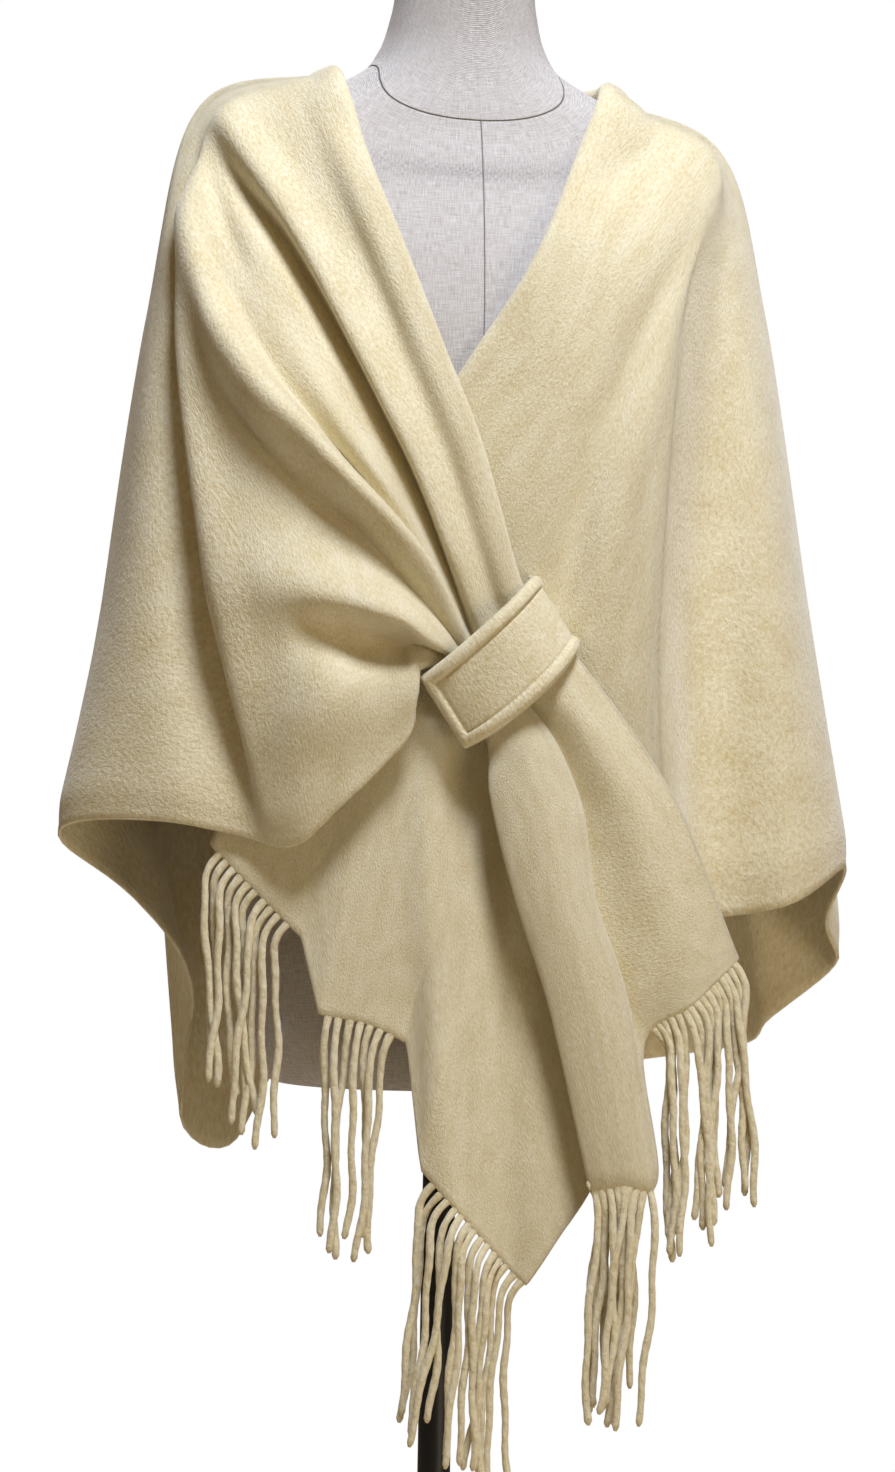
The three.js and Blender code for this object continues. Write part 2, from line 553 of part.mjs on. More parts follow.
function rightFrontPanel() {
  const places = [...evenly(BACK_END + SEAM_GAP, 1380, 10), ...evenly(1396, STRAP_S, 15)];
  return finished(sheetWall(shawl, places, FRONT_T), "right_front_panel", WOOL, NAP_ROUGHNESS);
}

function gatheredTail() {
  return finished(sheetWall(tail, TAIL_PLACES, TAIL_T), "gathered_tail", WOOL, NAP_ROUGHNESS);
}

// The strap: a band over the gathers, with a raised welt along its two sides and its free end
function strapLoop() {
  const line = new THREE.CatmullRomCurve3(STRAP_LINE.map(vector));
  const length = line.getLength();
  const weltShare = WELT_WIDTH / STRAP_WIDTH;
  const grooveShare = (WELT_WIDTH + WELT_STEP) / STRAP_WIDTH;
  const acrossPlaces = [0, weltShare, grooveShare, 0.5, 1 - grooveShare, 1 - weltShare, 1];
  const alongPlaces = [0, WELT_WIDTH / length, ...evenly((WELT_WIDTH + WELT_STEP) / length, 1, STRAP_STEPS)];
  const grid = alongPlaces.map((u) => acrossPlaces.map((v) => {
    const bulge = STRAP_BULGE * (1 - (2 * u - 1) ** 2) * mix(LOW_SIDE_BULGE, 1, v);
    return line.getPointAt(u).addScaledVector(STRAP_ACROSS, (v - 0.5) * STRAP_WIDTH + bulge);
  }));
  const normals = alongPlaces.map((u) => {
    const normal = STRAP_ACROSS.clone().cross(line.getTangentAt(u)).normalize();
    return acrossPlaces.map(() => normal);
  });
  const isWelt = (i, j) => i < 2 || j < 2 || j > acrossPlaces.length - 3;
  const rise = (i, j) => (isWelt(i, j) ? WELT_RISE : 0);
  return finished(wall(grid, normals, STRAP_THICKNESS, rise), "strap_loop", WOOL, NAP_ROUGHNESS);
}

function toManifold(geometry) {
  const bare = geometry.clone();
  bare.deleteAttribute("normal");
  bare.deleteAttribute("uv");
  const merged = mergeVertices(bare);
  return new wasm.Manifold(new wasm.Mesh({
    numProp: 3,
    vertProperties: new Float32Array(merged.attributes.position.array),
    triVerts: new Uint32Array(merged.index.array),
  }));
}

function toGeometry(solid) {
  const mesh = solid.getMesh();
  const geometry = new THREE.BufferGeometry();
  geometry.setAttribute("position", new THREE.BufferAttribute(new Float32Array(mesh.vertProperties), 3));
  geometry.setIndex(new THREE.BufferAttribute(new Uint32Array(mesh.triVerts), 1));
  return geometry;
}

// One strand: a four-sided taper that leaves its root along the cloth and then hangs straight down
const STRAND_RINGS = [
  { place: 0, across: 1.5, deep: 0.8 },
  { place: 0.06, across: 3.3, deep: 3.3 },
  { place: 0.4, across: 3.1, deep: 3.1 },
  { place: 1, across: 2.5, deep: 2.5 },
];

function strand(root, direction, length, sway) {
  const leaving = STRAND_RINGS[1].place;
  const rings = STRAND_RINGS.map(({ place, across, deep }) => {
    const point = root.clone().addScaledVector(direction, Math.min(place, leaving) * length);
    point.z -= Math.max(place - leaving, 0) * length;
    point.x += sway.x * place * place;
    point.y += sway.y * Math.min(place / STAGGER_PLACE, 1) + sway.z * place * place;
    return [[-across, 0], [0, -deep], [across, 0], [0, deep]].map(([x, y]) => {
      return new THREE.Vector3(point.x + x, point.y + y, point.z);
    });
  });
  const positions = rings.flat().flatMap((point) => [point.x, point.y, point.z]);
  const faces = [];
  for (let ring = 0; ring < rings.length - 1; ring += 1) {
    for (let side = 0; side < 4; side += 1) {
      const next = (side + 1) % 4;
      const top = ring * 4;
      faces.push(top + side, top + 4 + side, top + 4 + next, top + side, top + 4 + next, top + next);
    }
  }
  const end = (rings.length - 1) * 4;
  faces.push(0, 1, 2, 0, 2, 3, end, end + 2, end + 1, end, end + 3, end + 2);
  const geometry = new THREE.BufferGeometry();
  geometry.setAttribute("position", new THREE.Float32BufferAttribute(positions, 3));
  geometry.setIndex(faces);
  return geometry;
}

// A repeatable uneven number from -1 to 1 for a strand
const UNEVEN_STEP = 12.9898;
const UNEVEN_SIZE = 43758.5453;

function uneven(seed) {
  const wave = Math.sin(seed * UNEVEN_STEP) * UNEVEN_SIZE;
  return 2 * (wave - Math.floor(wave)) - 1;
}

// Strands along an edge of a surface, fused into a narrow strip that is parted from that edge. A steep
// stretch of the edge is inside a lap of the cloth, where no strand shows.
function fringe(surface, edge, outward, panelPlaces, tPlaces, seed) {
  const along = (t, reach) => {
    return surface(edge, Math.min(t + reach, 1)).sub(surface(edge, Math.max(t - reach, 0))).normalize();
  };
  const flow = (t) => {
    const direction = surface(edge, t).sub(surface(edge - outward * 2 * S_PROBE, t)).normalize();
    const tangent = along(t, T_REACH);
    return direction.addScaledVector(tangent, -direction.dot(tangent)).normalize();
  };
  const at = (t, distance) => surface(edge, t).addScaledVector(flow(t), distance);
  const distances = outward < 0 ? [SEAM_GAP + STRIP_WIDTH, SEAM_GAP] : [SEAM_GAP, SEAM_GAP + STRIP_WIDTH];
  const strip = distances.map((distance) => tPlaces.map((t) => at(t, distance)));
  const normals = distances.map(() => tPlaces.map((t) => directions(surface, edge, t).normal));
  let solid = toManifold(wall(strip, normals, CLOTH));
  const walk = [{ length: 0, t: 0 }];
  for (const t of evenly(0, 1, WALK_STEPS).slice(1)) {
    const before = walk[walk.length - 1];
    walk.push({ length: before.length + surface(edge, t).distanceTo(surface(edge, before.t)), t });
  }
  const whole = walk[walk.length - 1].length;
  for (let index = 0; index < STRANDS_PER_END; index += 1) {
    const target = whole * (index + 0.5) / STRANDS_PER_END;
    const { t } = walk.find((row) => row.length >= target);
    if (Math.abs(along(t, LAP_T).z) > STEEP) continue;
    const root = at(t, SEAM_GAP + STRIP_WIDTH / 2);
    const direction = flow(t).add(new THREE.Vector3(0, 0, -1)).normalize();
    const side = index % 2 ? STAGGER : -STAGGER;
    const sway = new THREE.Vector3(SWAY * uneven(index + seed), side, SWAY * uneven(index + seed + 50));
    const length = STRAND_LENGTH * (1 + UNEVEN_LENGTH * uneven(index + seed + 100));
    solid = solid.add(toManifold(strand(root, direction, length, sway)));
  }
  // Whatever comes too close to the panel itself is cut away.
  const beyond = edge + outward * SEAM_GAP;
  const nearPlaces = [...panelPlaces, beyond].sort((a, b) => a - b);
  const near = toManifold(sheetWall(surface, nearPlaces, tPlaces, CLOTH + 2 * SEAM_GAP));
  const pieces = solid.subtract(near).decompose();
  return toGeometry(pieces.reduce((best, piece) => (piece.volume() > best.volume() ? piece : best)));
}

function leftFrontFringe() {
  const row = fringe(shawl, 0, -1, LEFT_PLACES.slice(0, NEAR_PLACES), LEFT_T.slice(CURL.length), 1);
  return finished(row, "left_front_fringe", WOOL, NAP_ROUGHNESS);
}

function tailFringe() {
  const row = fringe(tail, TAIL_END, 1, TAIL_PLACES.slice(-NEAR_PLACES), TAIL_T, 7);
  return finished(row, "tail_fringe", WOOL, NAP_ROUGHNESS);
}

// The torso and neck: closed sections of rounded outline, one above the other
function dressForm() {
  const around = FORM_SIDES;
  const heights = [...formHeights, ...EXTRA_HEIGHTS].sort((a, b) => a - b);
  const positions = [];
  const rounded = (value) => Math.sign(value) * Math.abs(value) ** (2 / FORM_ROUNDNESS);
  for (const z of heights) {
    const size = formAt(z);
    for (let side = 0; side < around; side += 1) {
      const angle = 2 * Math.PI * side / around;
      const depth = Math.sin(angle) < 0 ? size.y : size.z;
      const y = leanAt(z) + depth * rounded(Math.sin(angle));
      positions.push(size.x * rounded(Math.cos(angle)), y, z);
    }
  }
  const faces = [];
  for (let row = 0; row < heights.length - 1; row += 1) {
    for (let side = 0; side < around; side += 1) {
      const next = (side + 1) % around;
      const low = row * around;
      const high = low + around;
      faces.push(low + side, low + next, high + next, low + side, high + next, high + side);
    }
  }
  const top = (heights.length - 1) * around;
  for (let side = 1; side < around - 1; side += 1) {
    faces.push(0, side + 1, side);
    faces.push(top, top + side, top + side + 1);
  }
  const geometry = new THREE.BufferGeometry();
  geometry.setAttribute("position", new THREE.Float32BufferAttribute(positions, 3));
  geometry.setIndex(faces);
  return finished(geometry, "dress_form", LINEN, LINEN_ROUGHNESS);
}

// A turned piece about the pole's axis, from a profile of (radius, height) that starts and ends on it
function turned(profile, name, sides) {
  const outline = profile.map(([radius, z]) => new THREE.Vector2(radius, z));
  const geometry = new THREE.LatheGeometry(outline, sides);
  geometry.rotateX(Math.PI / 2);
  return finished(mergeVertices(stripped(geometry)), name, BLACK, PAINT_ROUGHNESS);
}

function stripped(geometry) {
  geometry.deleteAttribute("normal");
  geometry.deleteAttribute("uv");
  return geometry;
}

function neckCap() {
  const bottom = NECK_TOP + TOUCH_GAP;
  const profile = [[0, bottom], [CAP_RADIUS, bottom], [CAP_RADIUS, bottom + CAP_WALL],
    [CAP_RADIUS - CAP_ROUNDING, bottom + CAP_SHOULDER], [CAP_RADIUS / 2, bottom + CAP_HEIGHT - 1],
    [0, bottom + CAP_HEIGHT]];
  const cap = turned(profile, "neck_cap", CAP_SIDES);
  cap.position.y = leanAt(NECK_TOP);
  return cap;
}

function standPole() {
  const bottom = BASE_HEIGHT + TOUCH_GAP;
  const top = FORM_BOTTOM - TOUCH_GAP;
  const profile = [[0, bottom], [COLLAR_RADIUS, bottom], [COLLAR_RADIUS, bottom + COLLAR_EDGE],
    [POLE_RADIUS, bottom + COLLAR_HEIGHT], [POLE_RADIUS, top], [0, top]];
  return turned(profile, "stand_pole", POLE_SIDES);
}

function standBase() {
  const profile = [[0, 0], [BASE_RADIUS, 0], [BASE_RADIUS, BASE_HEIGHT - BASE_EDGE],
    [BASE_RADIUS - BASE_EDGE, BASE_HEIGHT], [0, BASE_HEIGHT]];
  return turned(profile, "stand_base", BASE_SIDES);
}

const shawlOnStand = new THREE.Group();
shawlOnStand.add(standBase());
shawlOnStand.add(standPole());
shawlOnStand.add(dressForm());
shawlOnStand.add(neckCap());
shawlOnStand.add(leftFrontPanel());
shawlOnStand.add(backPanel());
shawlOnStand.add(rightFrontPanel());
shawlOnStand.add(gatheredTail());
shawlOnStand.add(strapLoop());
shawlOnStand.add(leftFrontFringe());
shawlOnStand.add(tailFringe());

export default shawlOnStand;
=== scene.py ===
# A brushed wool shawl worn as a poncho, with twisted fringes and a sewn strap, on a linen dress form.
# Blender 4.5. Lengths in the tables are millimetres, which MM turns to metres. +Z is up, the form faces -Y.
# Left and right are the wearer's.
import math

import bpy
import numpy as np
from bpy.props import FloatProperty, FloatVectorProperty, IntProperty, PointerProperty
from mathutils import Matrix, Vector


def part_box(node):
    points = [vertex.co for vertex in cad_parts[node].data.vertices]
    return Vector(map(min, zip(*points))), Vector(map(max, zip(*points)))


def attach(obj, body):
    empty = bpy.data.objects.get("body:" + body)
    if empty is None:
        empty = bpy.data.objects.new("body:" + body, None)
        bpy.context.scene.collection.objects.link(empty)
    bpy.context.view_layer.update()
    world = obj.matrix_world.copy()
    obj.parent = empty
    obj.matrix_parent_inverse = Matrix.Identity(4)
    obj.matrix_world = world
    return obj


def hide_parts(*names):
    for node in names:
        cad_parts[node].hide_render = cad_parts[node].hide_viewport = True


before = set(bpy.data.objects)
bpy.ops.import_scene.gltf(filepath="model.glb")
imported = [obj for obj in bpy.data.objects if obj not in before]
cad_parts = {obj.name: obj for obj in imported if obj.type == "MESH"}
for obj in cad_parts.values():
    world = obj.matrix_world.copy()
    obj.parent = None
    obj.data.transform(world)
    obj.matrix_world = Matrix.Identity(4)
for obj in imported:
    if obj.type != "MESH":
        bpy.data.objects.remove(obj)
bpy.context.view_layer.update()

bl_info = {
    "name": "Fringed poncho shawl on a dress form",
    "version": (1, 0, 0),
    "blender": (4, 5, 0),
    "location": "View3D > Sidebar > Shawl",
    "description": "Makes a fringed brushed wool shawl with its strap, on a dress form and stand",
    "category": "Object",
}

MM = 0.001
BODY = "root"

# The neck edge rolls under
CURL_RADIUS = 4.5
CURL_TURN = math.pi * 0.95
CURL_T = 0.03
CURL_EASE = 0.16
CURL_LIFT = 9.7
CLEARANCE = 1.9
EDGE_ROLL = 2
EDGE_TUCK = 1.5

# The free hem tucks under from HEM_T down, between these places along s
HEM_TUCK = 3.5
HEM_T = 0.95
HEM_FROM = (560, 620)
HEM_TO = (1380, 1460)

# The dress form: height, half width, front depth, back depth and how far the neck leans forward
FORM = (
    (705, 126, 80, 84, 0),
    (716, 134, 87, 92, 0),
    (770, 150, 94, 104, 0),
    (850, 155, 92, 106, 0),
    (930, 138, 84, 96, 0),
    (1010, 122, 78, 86, 0),
    (1090, 132, 86, 90, 0),
    (1170, 148, 98, 96, 0),
    (1235, 158, 103, 100, 0),
    (1290, 170, 96, 104, 0),
    (1335, 181, 84, 100, 0),
    (1365, 182, 74, 90, 0),
    (1385, 168, 68, 82, -1),
    (1402, 138, 65, 75, -2),
    (1420, 99, 61, 67, -3),
    (1434, 73, 58, 61, -5),
    (1450, 61, 54, 56, -8),
    (1474, 53, 50, 52, -14),
    (1540, 50, 47, 49, -26),
)
FORM_ROUNDNESS = 2.25
FORM_BOTTOM = FORM[0][0]
NECK_TOP = FORM[-1][0]

# Sections across the shawl: the place s along it, then a point at the neck edge, three between and one
# at the hem. s runs from the left front's fringed end round the left side, the back and the right side
# to the strap.
SECTIONS = (
    (0, (-173, -82, 874), (-112, -102, 794), (-62, -114, 732), (-11, -119, 654), (46, -120, 576)),
    (100, (-144, -86, 946), (-92, -102, 875), (-46, -113, 807), (5, -116, 731), (67, -118, 608)),
    (200, (-112, -95, 1012), (-66, -104, 948), (-28, -108, 886), (23, -110, 814), (90, -114, 641)),
    (300, (-69, -104, 1086), (-30, -105, 1014), (2, -101, 953), (49, -102, 877), (108, -108, 682)),
    (370, (-33, -109, 1162), (8, -108, 1088), (39, -104, 1016), (80, -102, 912), (126, -105, 737)),
    (430, (-3, -112, 1211), (41, -114, 1141), (70, -110, 1058), (104, -105, 933), (136, -103, 786)),
    (490, (39, -116, 1278), (86, -115, 1212), (106, -113, 1108), (123, -106, 955), (143, -100, 818)),
    (545, (64, -98, 1329), (128, -96, 1294), (135, -106, 1179), (132, -102, 1004), (146, -96, 825)),
    (595, (94, -50, 1405), (180, -42, 1371), (154, -86, 1259), (143, -94, 1046), (158, -92, 828)),
    (635, (99, -32, 1415), (185, -30, 1378), (182, -60, 1258), (180, -66, 1056), (191, -70, 829)),
    (670, (101, -16, 1420), (189, -16, 1382), (203, -46, 1262), (219, -66, 1057), (239, -72, 838)),
    (735, (103, 0, 1425), (193, 0, 1386), (231, 0, 1267), (269, 0, 1046), (304, 0, 862)),
    (775, (95, 24, 1430), (190, 36, 1370), (234, 36, 1248), (277, 40, 1025), (303, 45, 825)),
    (820, (82, 46, 1432), (178, 70, 1344), (228, 70, 1222), (282, 82, 1000), (311, 87, 784)),
    (860, (66, 64, 1433), (154, 92, 1340), (200, 102, 1205), (250, 118, 980), (288, 118, 748)),
    (900, (50, 76, 1434), (128, 104, 1342), (164, 124, 1190), (210, 138, 960), (256, 140, 716)),
    (985, (0, 86, 1436), (0, 112, 1348), (0, 128, 1190), (0, 142, 950), (0, 156, 696)),
    (1052, (-36, 80, 1435), (-86, 108, 1346), (-108, 128, 1190), (-116, 143, 945), (-120, 151, 690)),
    (1078, (-48, 74, 1434), (-112, 103, 1345), (-142, 122, 1192), (-148, 137, 940), (-138, 142, 640)),
    (1115, (-64, 62, 1434), (-147, 92, 1344), (-184, 106, 1206), (-196, 122, 960), (-178, 130, 656)),
    (1150, (-78, 46, 1434), (-172, 72, 1348), (-212, 76, 1225), (-230, 94, 1000), (-184, 110, 752)),
    (1190, (-88, 24, 1434), (-187, 38, 1376), (-222, 40, 1242), (-247, 50, 1022), (-229, 54, 832)),
    (1230, (-95, 0, 1433), (-189, 0, 1399), (-223, 0, 1254), (-252, 0, 1041), (-282, 0, 877)),
    (1300, (-95, -20, 1428), (-187, -14, 1397), (-211, -42, 1249), (-214, -66, 1043), (-208, -80, 893)),
    (1340, (-94, -36, 1422), (-181, -24, 1393), (-185, -48, 1245), (-156, -76, 1040), (-152, -96, 883)),
    (1365, (-93, -50, 1413), (-175, -34, 1388), (-206, -62, 1250), (-179, -98, 1040), (-135, -107, 877)),
    (1400, (-80, -88, 1359), (-148, -66, 1335), (-185, -88, 1221), (-149, -116, 1047), (-117, -119, 881)),
    (1450, (-55, -114, 1290), (-112, -94, 1263), (-154, -114, 1181), (-113, -130, 1050), (-89, -126, 908)),
    (1500, (-28, -128, 1220), (-73, -118, 1182), (-111, -128, 1149), (-79, -134, 1047), (-62, -128, 935)),
    (1545, (-1, -134, 1152), (-41, -124, 1119), (-65, -134, 1105), (-53, -136, 1039), (-42, -126, 963)),
    (1575, (16, -134, 1096), (-18, -125, 1068), (-31, -132, 1065), (-34, -134, 1026), (-44, -124, 995)),
    (1600, (27, -131, 1063), (0, -122, 1027), (-9, -130, 1021), (-16, -130, 1014), (-29, -122, 1004)),
    (1640, (45, -127, 1037), (17, -122, 1003), (9, -128, 997), (1, -128, 990), (-11, -120, 980)),
)
STRAP_S = 1640

# Folds: name, how far the crest leans towards the hem, then rows of (s, t, width in t, rise out of the
# cloth). A hollow sinks, and the cloth beside a leaning crest folds under it.
FOLDS = (
    ("neck roll", 0, (
        (1290, 0.05, 0.05, 0), (1350, 0.05, 0.05, 4), (1640, 0.05, 0.055, 4))),
    ("soft hollow beside it", 0, (
        (1340, 0.06, 0.04, 0), (1400, 0.08, 0.03, -2.5), (1500, 0.09, 0.03, -3), (1640, 0.1, 0.03, -1))),
    ("shoulder ridge", 8, (
        (1345, 0.24, 0.04, 0), (1375, 0.235, 0.04, 7), (1405, 0.21, 0.045, 12), (1440, 0.19, 0.047, 14),
        (1500, 0.172, 0.05, 15), (1560, 0.17, 0.055, 11), (1600, 0.18, 0.06, 5), (1640, 0.18, 0.06, 4))),
    ("shoulder crease", 4, (
        (1350, 0.29, 0.03, 0), (1380, 0.29, 0.03, -7), (1420, 0.262, 0.028, -13), (1460, 0.25, 0.03, -13.5),
        (1500, 0.24, 0.033, -13.5), (1545, 0.24, 0.036, -13), (1600, 0.265, 0.04, -5),
        (1640, 0.27, 0.04, -4))),
    ("faint crease", 0, (
        (1350, 0.31, 0.02, 0), (1370, 0.32, 0.02, -3), (1400, 0.35, 0.02, -4), (1430, 0.36, 0.02, 0))),
    ("inner ridge", 2, (
        (1440, 0.36, 0.03, 0), (1480, 0.365, 0.03, 4), (1510, 0.38, 0.032, 6), (1535, 0.385, 0.035, 5),
        (1560, 0.39, 0.04, 2), (1580, 0.39, 0.04, 0))),
    ("hollow before the arm ridge", 0, (
        (1380, 0.4, 0.035, 0), (1430, 0.41, 0.03, -5), (1480, 0.43, 0.032, -7), (1520, 0.44, 0.035, -6.5),
        (1560, 0.44, 0.04, -2.5), (1600, 0.45, 0.04, 0))),
    ("arm ridge", -6, (
        (1345, 0.36, 0.04, 0), (1375, 0.41, 0.045, 10), (1400, 0.455, 0.045, 15), (1440, 0.475, 0.045, 17),
        (1485, 0.5, 0.044, 16), (1520, 0.525, 0.046, 13), (1550, 0.525, 0.05, 10), (1600, 0.52, 0.06, 4),
        (1640, 0.51, 0.06, 3.5))),
    ("crease under the arm ridge", 0, (
        (1400, 0.55, 0.03, 0), (1430, 0.555, 0.03, -5), (1480, 0.595, 0.03, -8), (1540, 0.61, 0.036, -7.5),
        (1570, 0.63, 0.036, -6), (1610, 0.63, 0.03, -3), (1640, 0.63, 0.03, -1))),
    ("bowl", 0, (
        (1370, 0.6, 0.07, 0), (1400, 0.6, 0.08, -6), (1450, 0.62, 0.08, -11), (1500, 0.64, 0.07, -11),
        (1545, 0.66, 0.06, -9), (1590, 0.68, 0.04, 0))),
    ("level ridge", 9, (
        (1355, 0.73, 0.045, 0), (1385, 0.73, 0.045, 5), (1420, 0.735, 0.038, 9), (1475, 0.738, 0.033, 15),
        (1510, 0.74, 0.034, 16), (1560, 0.745, 0.04, 10), (1600, 0.755, 0.06, 3.5),
        (1640, 0.75, 0.06, 2.5))),
    ("hollow under the level ridge", 0, (
        (1420, 0.8, 0.03, 0), (1455, 0.805, 0.032, -8), (1490, 0.815, 0.034, -15),
        (1525, 0.825, 0.037, -18), (1570, 0.84, 0.038, -11), (1605, 0.85, 0.03, -4),
        (1630, 0.85, 0.03, 0))),
    ("lower bulge", 0, (
        (1380, 0.9, 0.06, 0), (1410, 0.89, 0.06, 7), (1440, 0.88, 0.06, 12), (1480, 0.89, 0.055, 8),
        (1520, 0.9, 0.05, 0))),
    ("hem curl", 0, (
        (1500, 0.93, 0.045, 0), (1545, 0.93, 0.05, 4.5), (1580, 0.93, 0.055, 4), (1610, 0.93, 0.055, 5),
        (1640, 0.93, 0.055, 3))),
    ("left front's ridge", 0, (
        (0, 0.75, 0.07, 8), (160, 0.55, 0.07, 6), (300, 0.38, 0.07, 3), (350, 0.33, 0.07, 0))),
    ("left front's hollow", 0, (
        (0, 0.95, 0.06, -8), (160, 0.8, 0.06, -7), (320, 0.64, 0.06, -5), (370, 0.6, 0.06, 0))),
    ("slant over the strap", 0, (
        (400, 0.55, 0.06, 0), (430, 0.48, 0.06, -5), (480, 0.34, 0.06, -7), (540, 0.32, 0.055, -5),
        (580, 0.33, 0.05, 0))),
    ("slant beside it", 0, (
        (400, 0.66, 0.06, 0), (440, 0.57, 0.06, 4), (500, 0.46, 0.06, 5), (560, 0.42, 0.06, 0))),
)

# Flutes that hang down the back and the sides: name, centre s, width, rise, and the t where each starts
FLUTES = (
    ("left front edge", 592, 28, 2, 0.3),
    ("left arm hollow", 636, 32, -13, 0.15),
    ("left back", 826, 24, 14, 0.25),
    ("left back hollow", 872, 20, -17, 0.3),
    ("left blade", 915, 20, 20, 0.3),
    ("middle hollow", 958, 20, -18, 0.22),
    ("right blade", 1002, 20, 20, 0.3),
    ("right back hollow", 1044, 18, -17, 0.28),
    ("right back", 1096, 24, 15, 0.3),
    ("right arm hollow", 1166, 22, -9, 0.4),
)

# Laps of the left front's fringed end: t, lift and how far forward the cloth stands there
LAPS = (
    (0, 0, -4),
    (0.245, 19, -6),
    (0.3, -18, 3),
    (0.61, 44, -6),
    (0.66, -26, 5),
    (1, 0, 0),
)
LAP_REACH = 200

# Sections of the tail below the strap: s, then the outer lobe's edge and crown, the valley between the
# lobes, the inner lobe's edge, crown and far edge, and the return behind
TAIL = (
    (40, (68, -126, 1013), (56, -134, 989), (45, -124, 974), (41, -131, 970), (25, -137, 962),
     (10, -127, 954), (21, -118, 960)),
    (110, (137, -128, 919), (103, -138, 916), (76, -123, 910), (72, -134, 912), (42, -145, 912),
     (13, -132, 913), (44, -121, 912)),
    (180, (171, -126, 844), (131, -138, 845), (88, -124, 840), (84, -138, 844), (57, -148, 841),
     (31, -136, 843), (61, -124, 839)),
    (240, (183, -124, 816), (149, -137, 800), (104, -125, 779), (108, -140, 775), (81, -148, 769),
     (56, -138, 768), (83, -126, 768)),
    (300, (189, -124, 802), (156, -137, 773), (124, -126, 743), (132, -140, 652), (107, -147, 649),
     (86, -138, 646), (108, -127, 668)),
)
TAIL_START = (0, 0.13, 0.24, 0.4, 0.6, 0.82, 1)
TAIL_END = 300
JOIN_REACH = 70

# The strap's middle line over the gathered cloth, from its free end to where it is sewn down behind
STRAP_LINE = (
    (-21, -127, 971), (-8, -138, 983), (9, -145, 999), (26, -147, 1015),
    (41, -142, 1029), (52, -132, 1040), (56, -121, 1043), (55, -113.2, 1043),
)
STRAP_ACROSS = (33, 0, -50)
STRAP_BULGE = 6
LOW_SIDE_BULGE = 0.2
STRAP_ROWS = 112
STRAP_COLUMNS = 64
GROOVE_DEPTH = 1
GROOVE_PLACE = 0.4
GROOVE_WIDTH = 0.9

# The stand and the cap, in metres: how wide their soft edges and shoulders are
SOFT_EDGE = 0.0012
BASE_EDGE = 0.003
BASE_TOP_EDGE = 0.012
COLLAR_SHOULDER = 0.026
COLLAR_TOP = 0.028
CAP_WALL = 0.005
CAP_SHOULDER = 0.009
CAP_ROUNDING = 0.006
# The cap's low dome: share of its radius, and how far below its top
CAP_DOME = ((0.75, 0.002), (0.5, 0.001), (0.2, 0.0002), (0.02, 0))

# The fringes: how a strand stands, and where the cloth's edge has none
STAGGER = 2.8
STEEP = 0.8
LAP_T = 0.035
ROOT_IN = 5
STRAND_RINGS = 58
STRAND_SIDES = 10
STRAND_TURN = 24
PLY_LOBES = 0.05
UNEVEN_LENGTH = 0.06
LEAN = 0.06
WILD_LEAN = 0.13
SLOW_SWAY = 3.2
QUICK_SWAY = 0.9
DEEP_SWAY = 1.1
ROOT_FLATNESS = 0.62
ROOT_WIDENING = 0.15
TIP = 0.015

# The form's seams: one round the neck, low in front, and one down the front and the back
NECK_SEAM_Z = 1437
NECK_SEAM_DROP = 46
NECK_SEAM_RISE = 10
SEAM_HOLD = 20
SEAM_REACH = 104
SEAM_WIDTH = 0.4
SEAM_STEPS = (-6, -3, -1.5, -0.9, -0.5, -0.25, 0, 0.25, 0.5, 0.9, 1.5, 3, 6)
SEAM_TURN = 0.025
SEAM_ARC = 250
FORM_LEVELS = 136

# Steps and sizes of the surface sums
S_PROBE = 2
T_PROBE = 0.004
T_REACH = 0.01
POINT_PROBE = 0.5
CLEAR_PASSES = 5
CURL_STEPS = 8
WALK_STEPS = 200
UNEVEN_STEP = 12.9898
UNEVEN_SIZE = 43758.5453

# Real sizes behind the materials' patterns, in metres. A wave texture of scale BAND has one band a metre.
BAND = 2 * math.pi / 20
MOTTLING = 0.025
NAP = 0.0022
FIBRE = 0.0012
LINEN_THREAD = 0.0008
LINEN_SLUB = 0.0007
ORANGE_PEEL = 0.0015
PAINT_WEAR = 0.05

# The photograph's height in pixels, and the camera that was worked out for it
PHOTO_HEIGHT = 1472
MM_PER_PIXEL = 0.73
CAMERA_BACK = 2.2
CAMERA_HEIGHT = 0.955
CAMERA_YAW = math.radians(-8)
CAMERA_ROLL = math.radians(1.077)
SENSOR = 36

# Soft round lights in metres: name, place, diameter, colour and the point that each one faces
LIGHTS = (
    ("key light", (0.15, -1.1, 2.85), 0.6, (0.94, 1, 1.13), (0, 0, 1.05)),
    ("fill light", (1.3, -2.1, 0.6), 1.2, (1, 0.86, 0.62), (0.1, 0, 0.9)),
    ("back light", (-0.6, 2.0, 2.4), 1.4, (1, 1, 1), (0, 0, 1.05)),
)


def linear(code):
    """The linear colour of an sRGB hex value such as F0E6C0."""
    parts = [int(code[i:i + 2], 16) / 255 for i in (0, 2, 4)]
    return tuple(c / 12.92 if c <= 0.04045 else ((c + 0.055) / 1.055) ** 2.4 for c in parts)


def unit(vectors):
    """Vectors of length one along the last axis."""
    return vectors / np.maximum(np.linalg.norm(vectors, axis=-1, keepdims=True), 1e-9)


def ease(low, high, value):
    """0 below low, 1 above high, and a smooth step between."""
    u = np.clip((value - low) / (high - low), 0, 1)
    return u * u * (3 - 2 * u)


def bell(distance):
    """1 at no distance, falling smoothly to 0 on both sides."""
    return np.exp(-distance * distance)


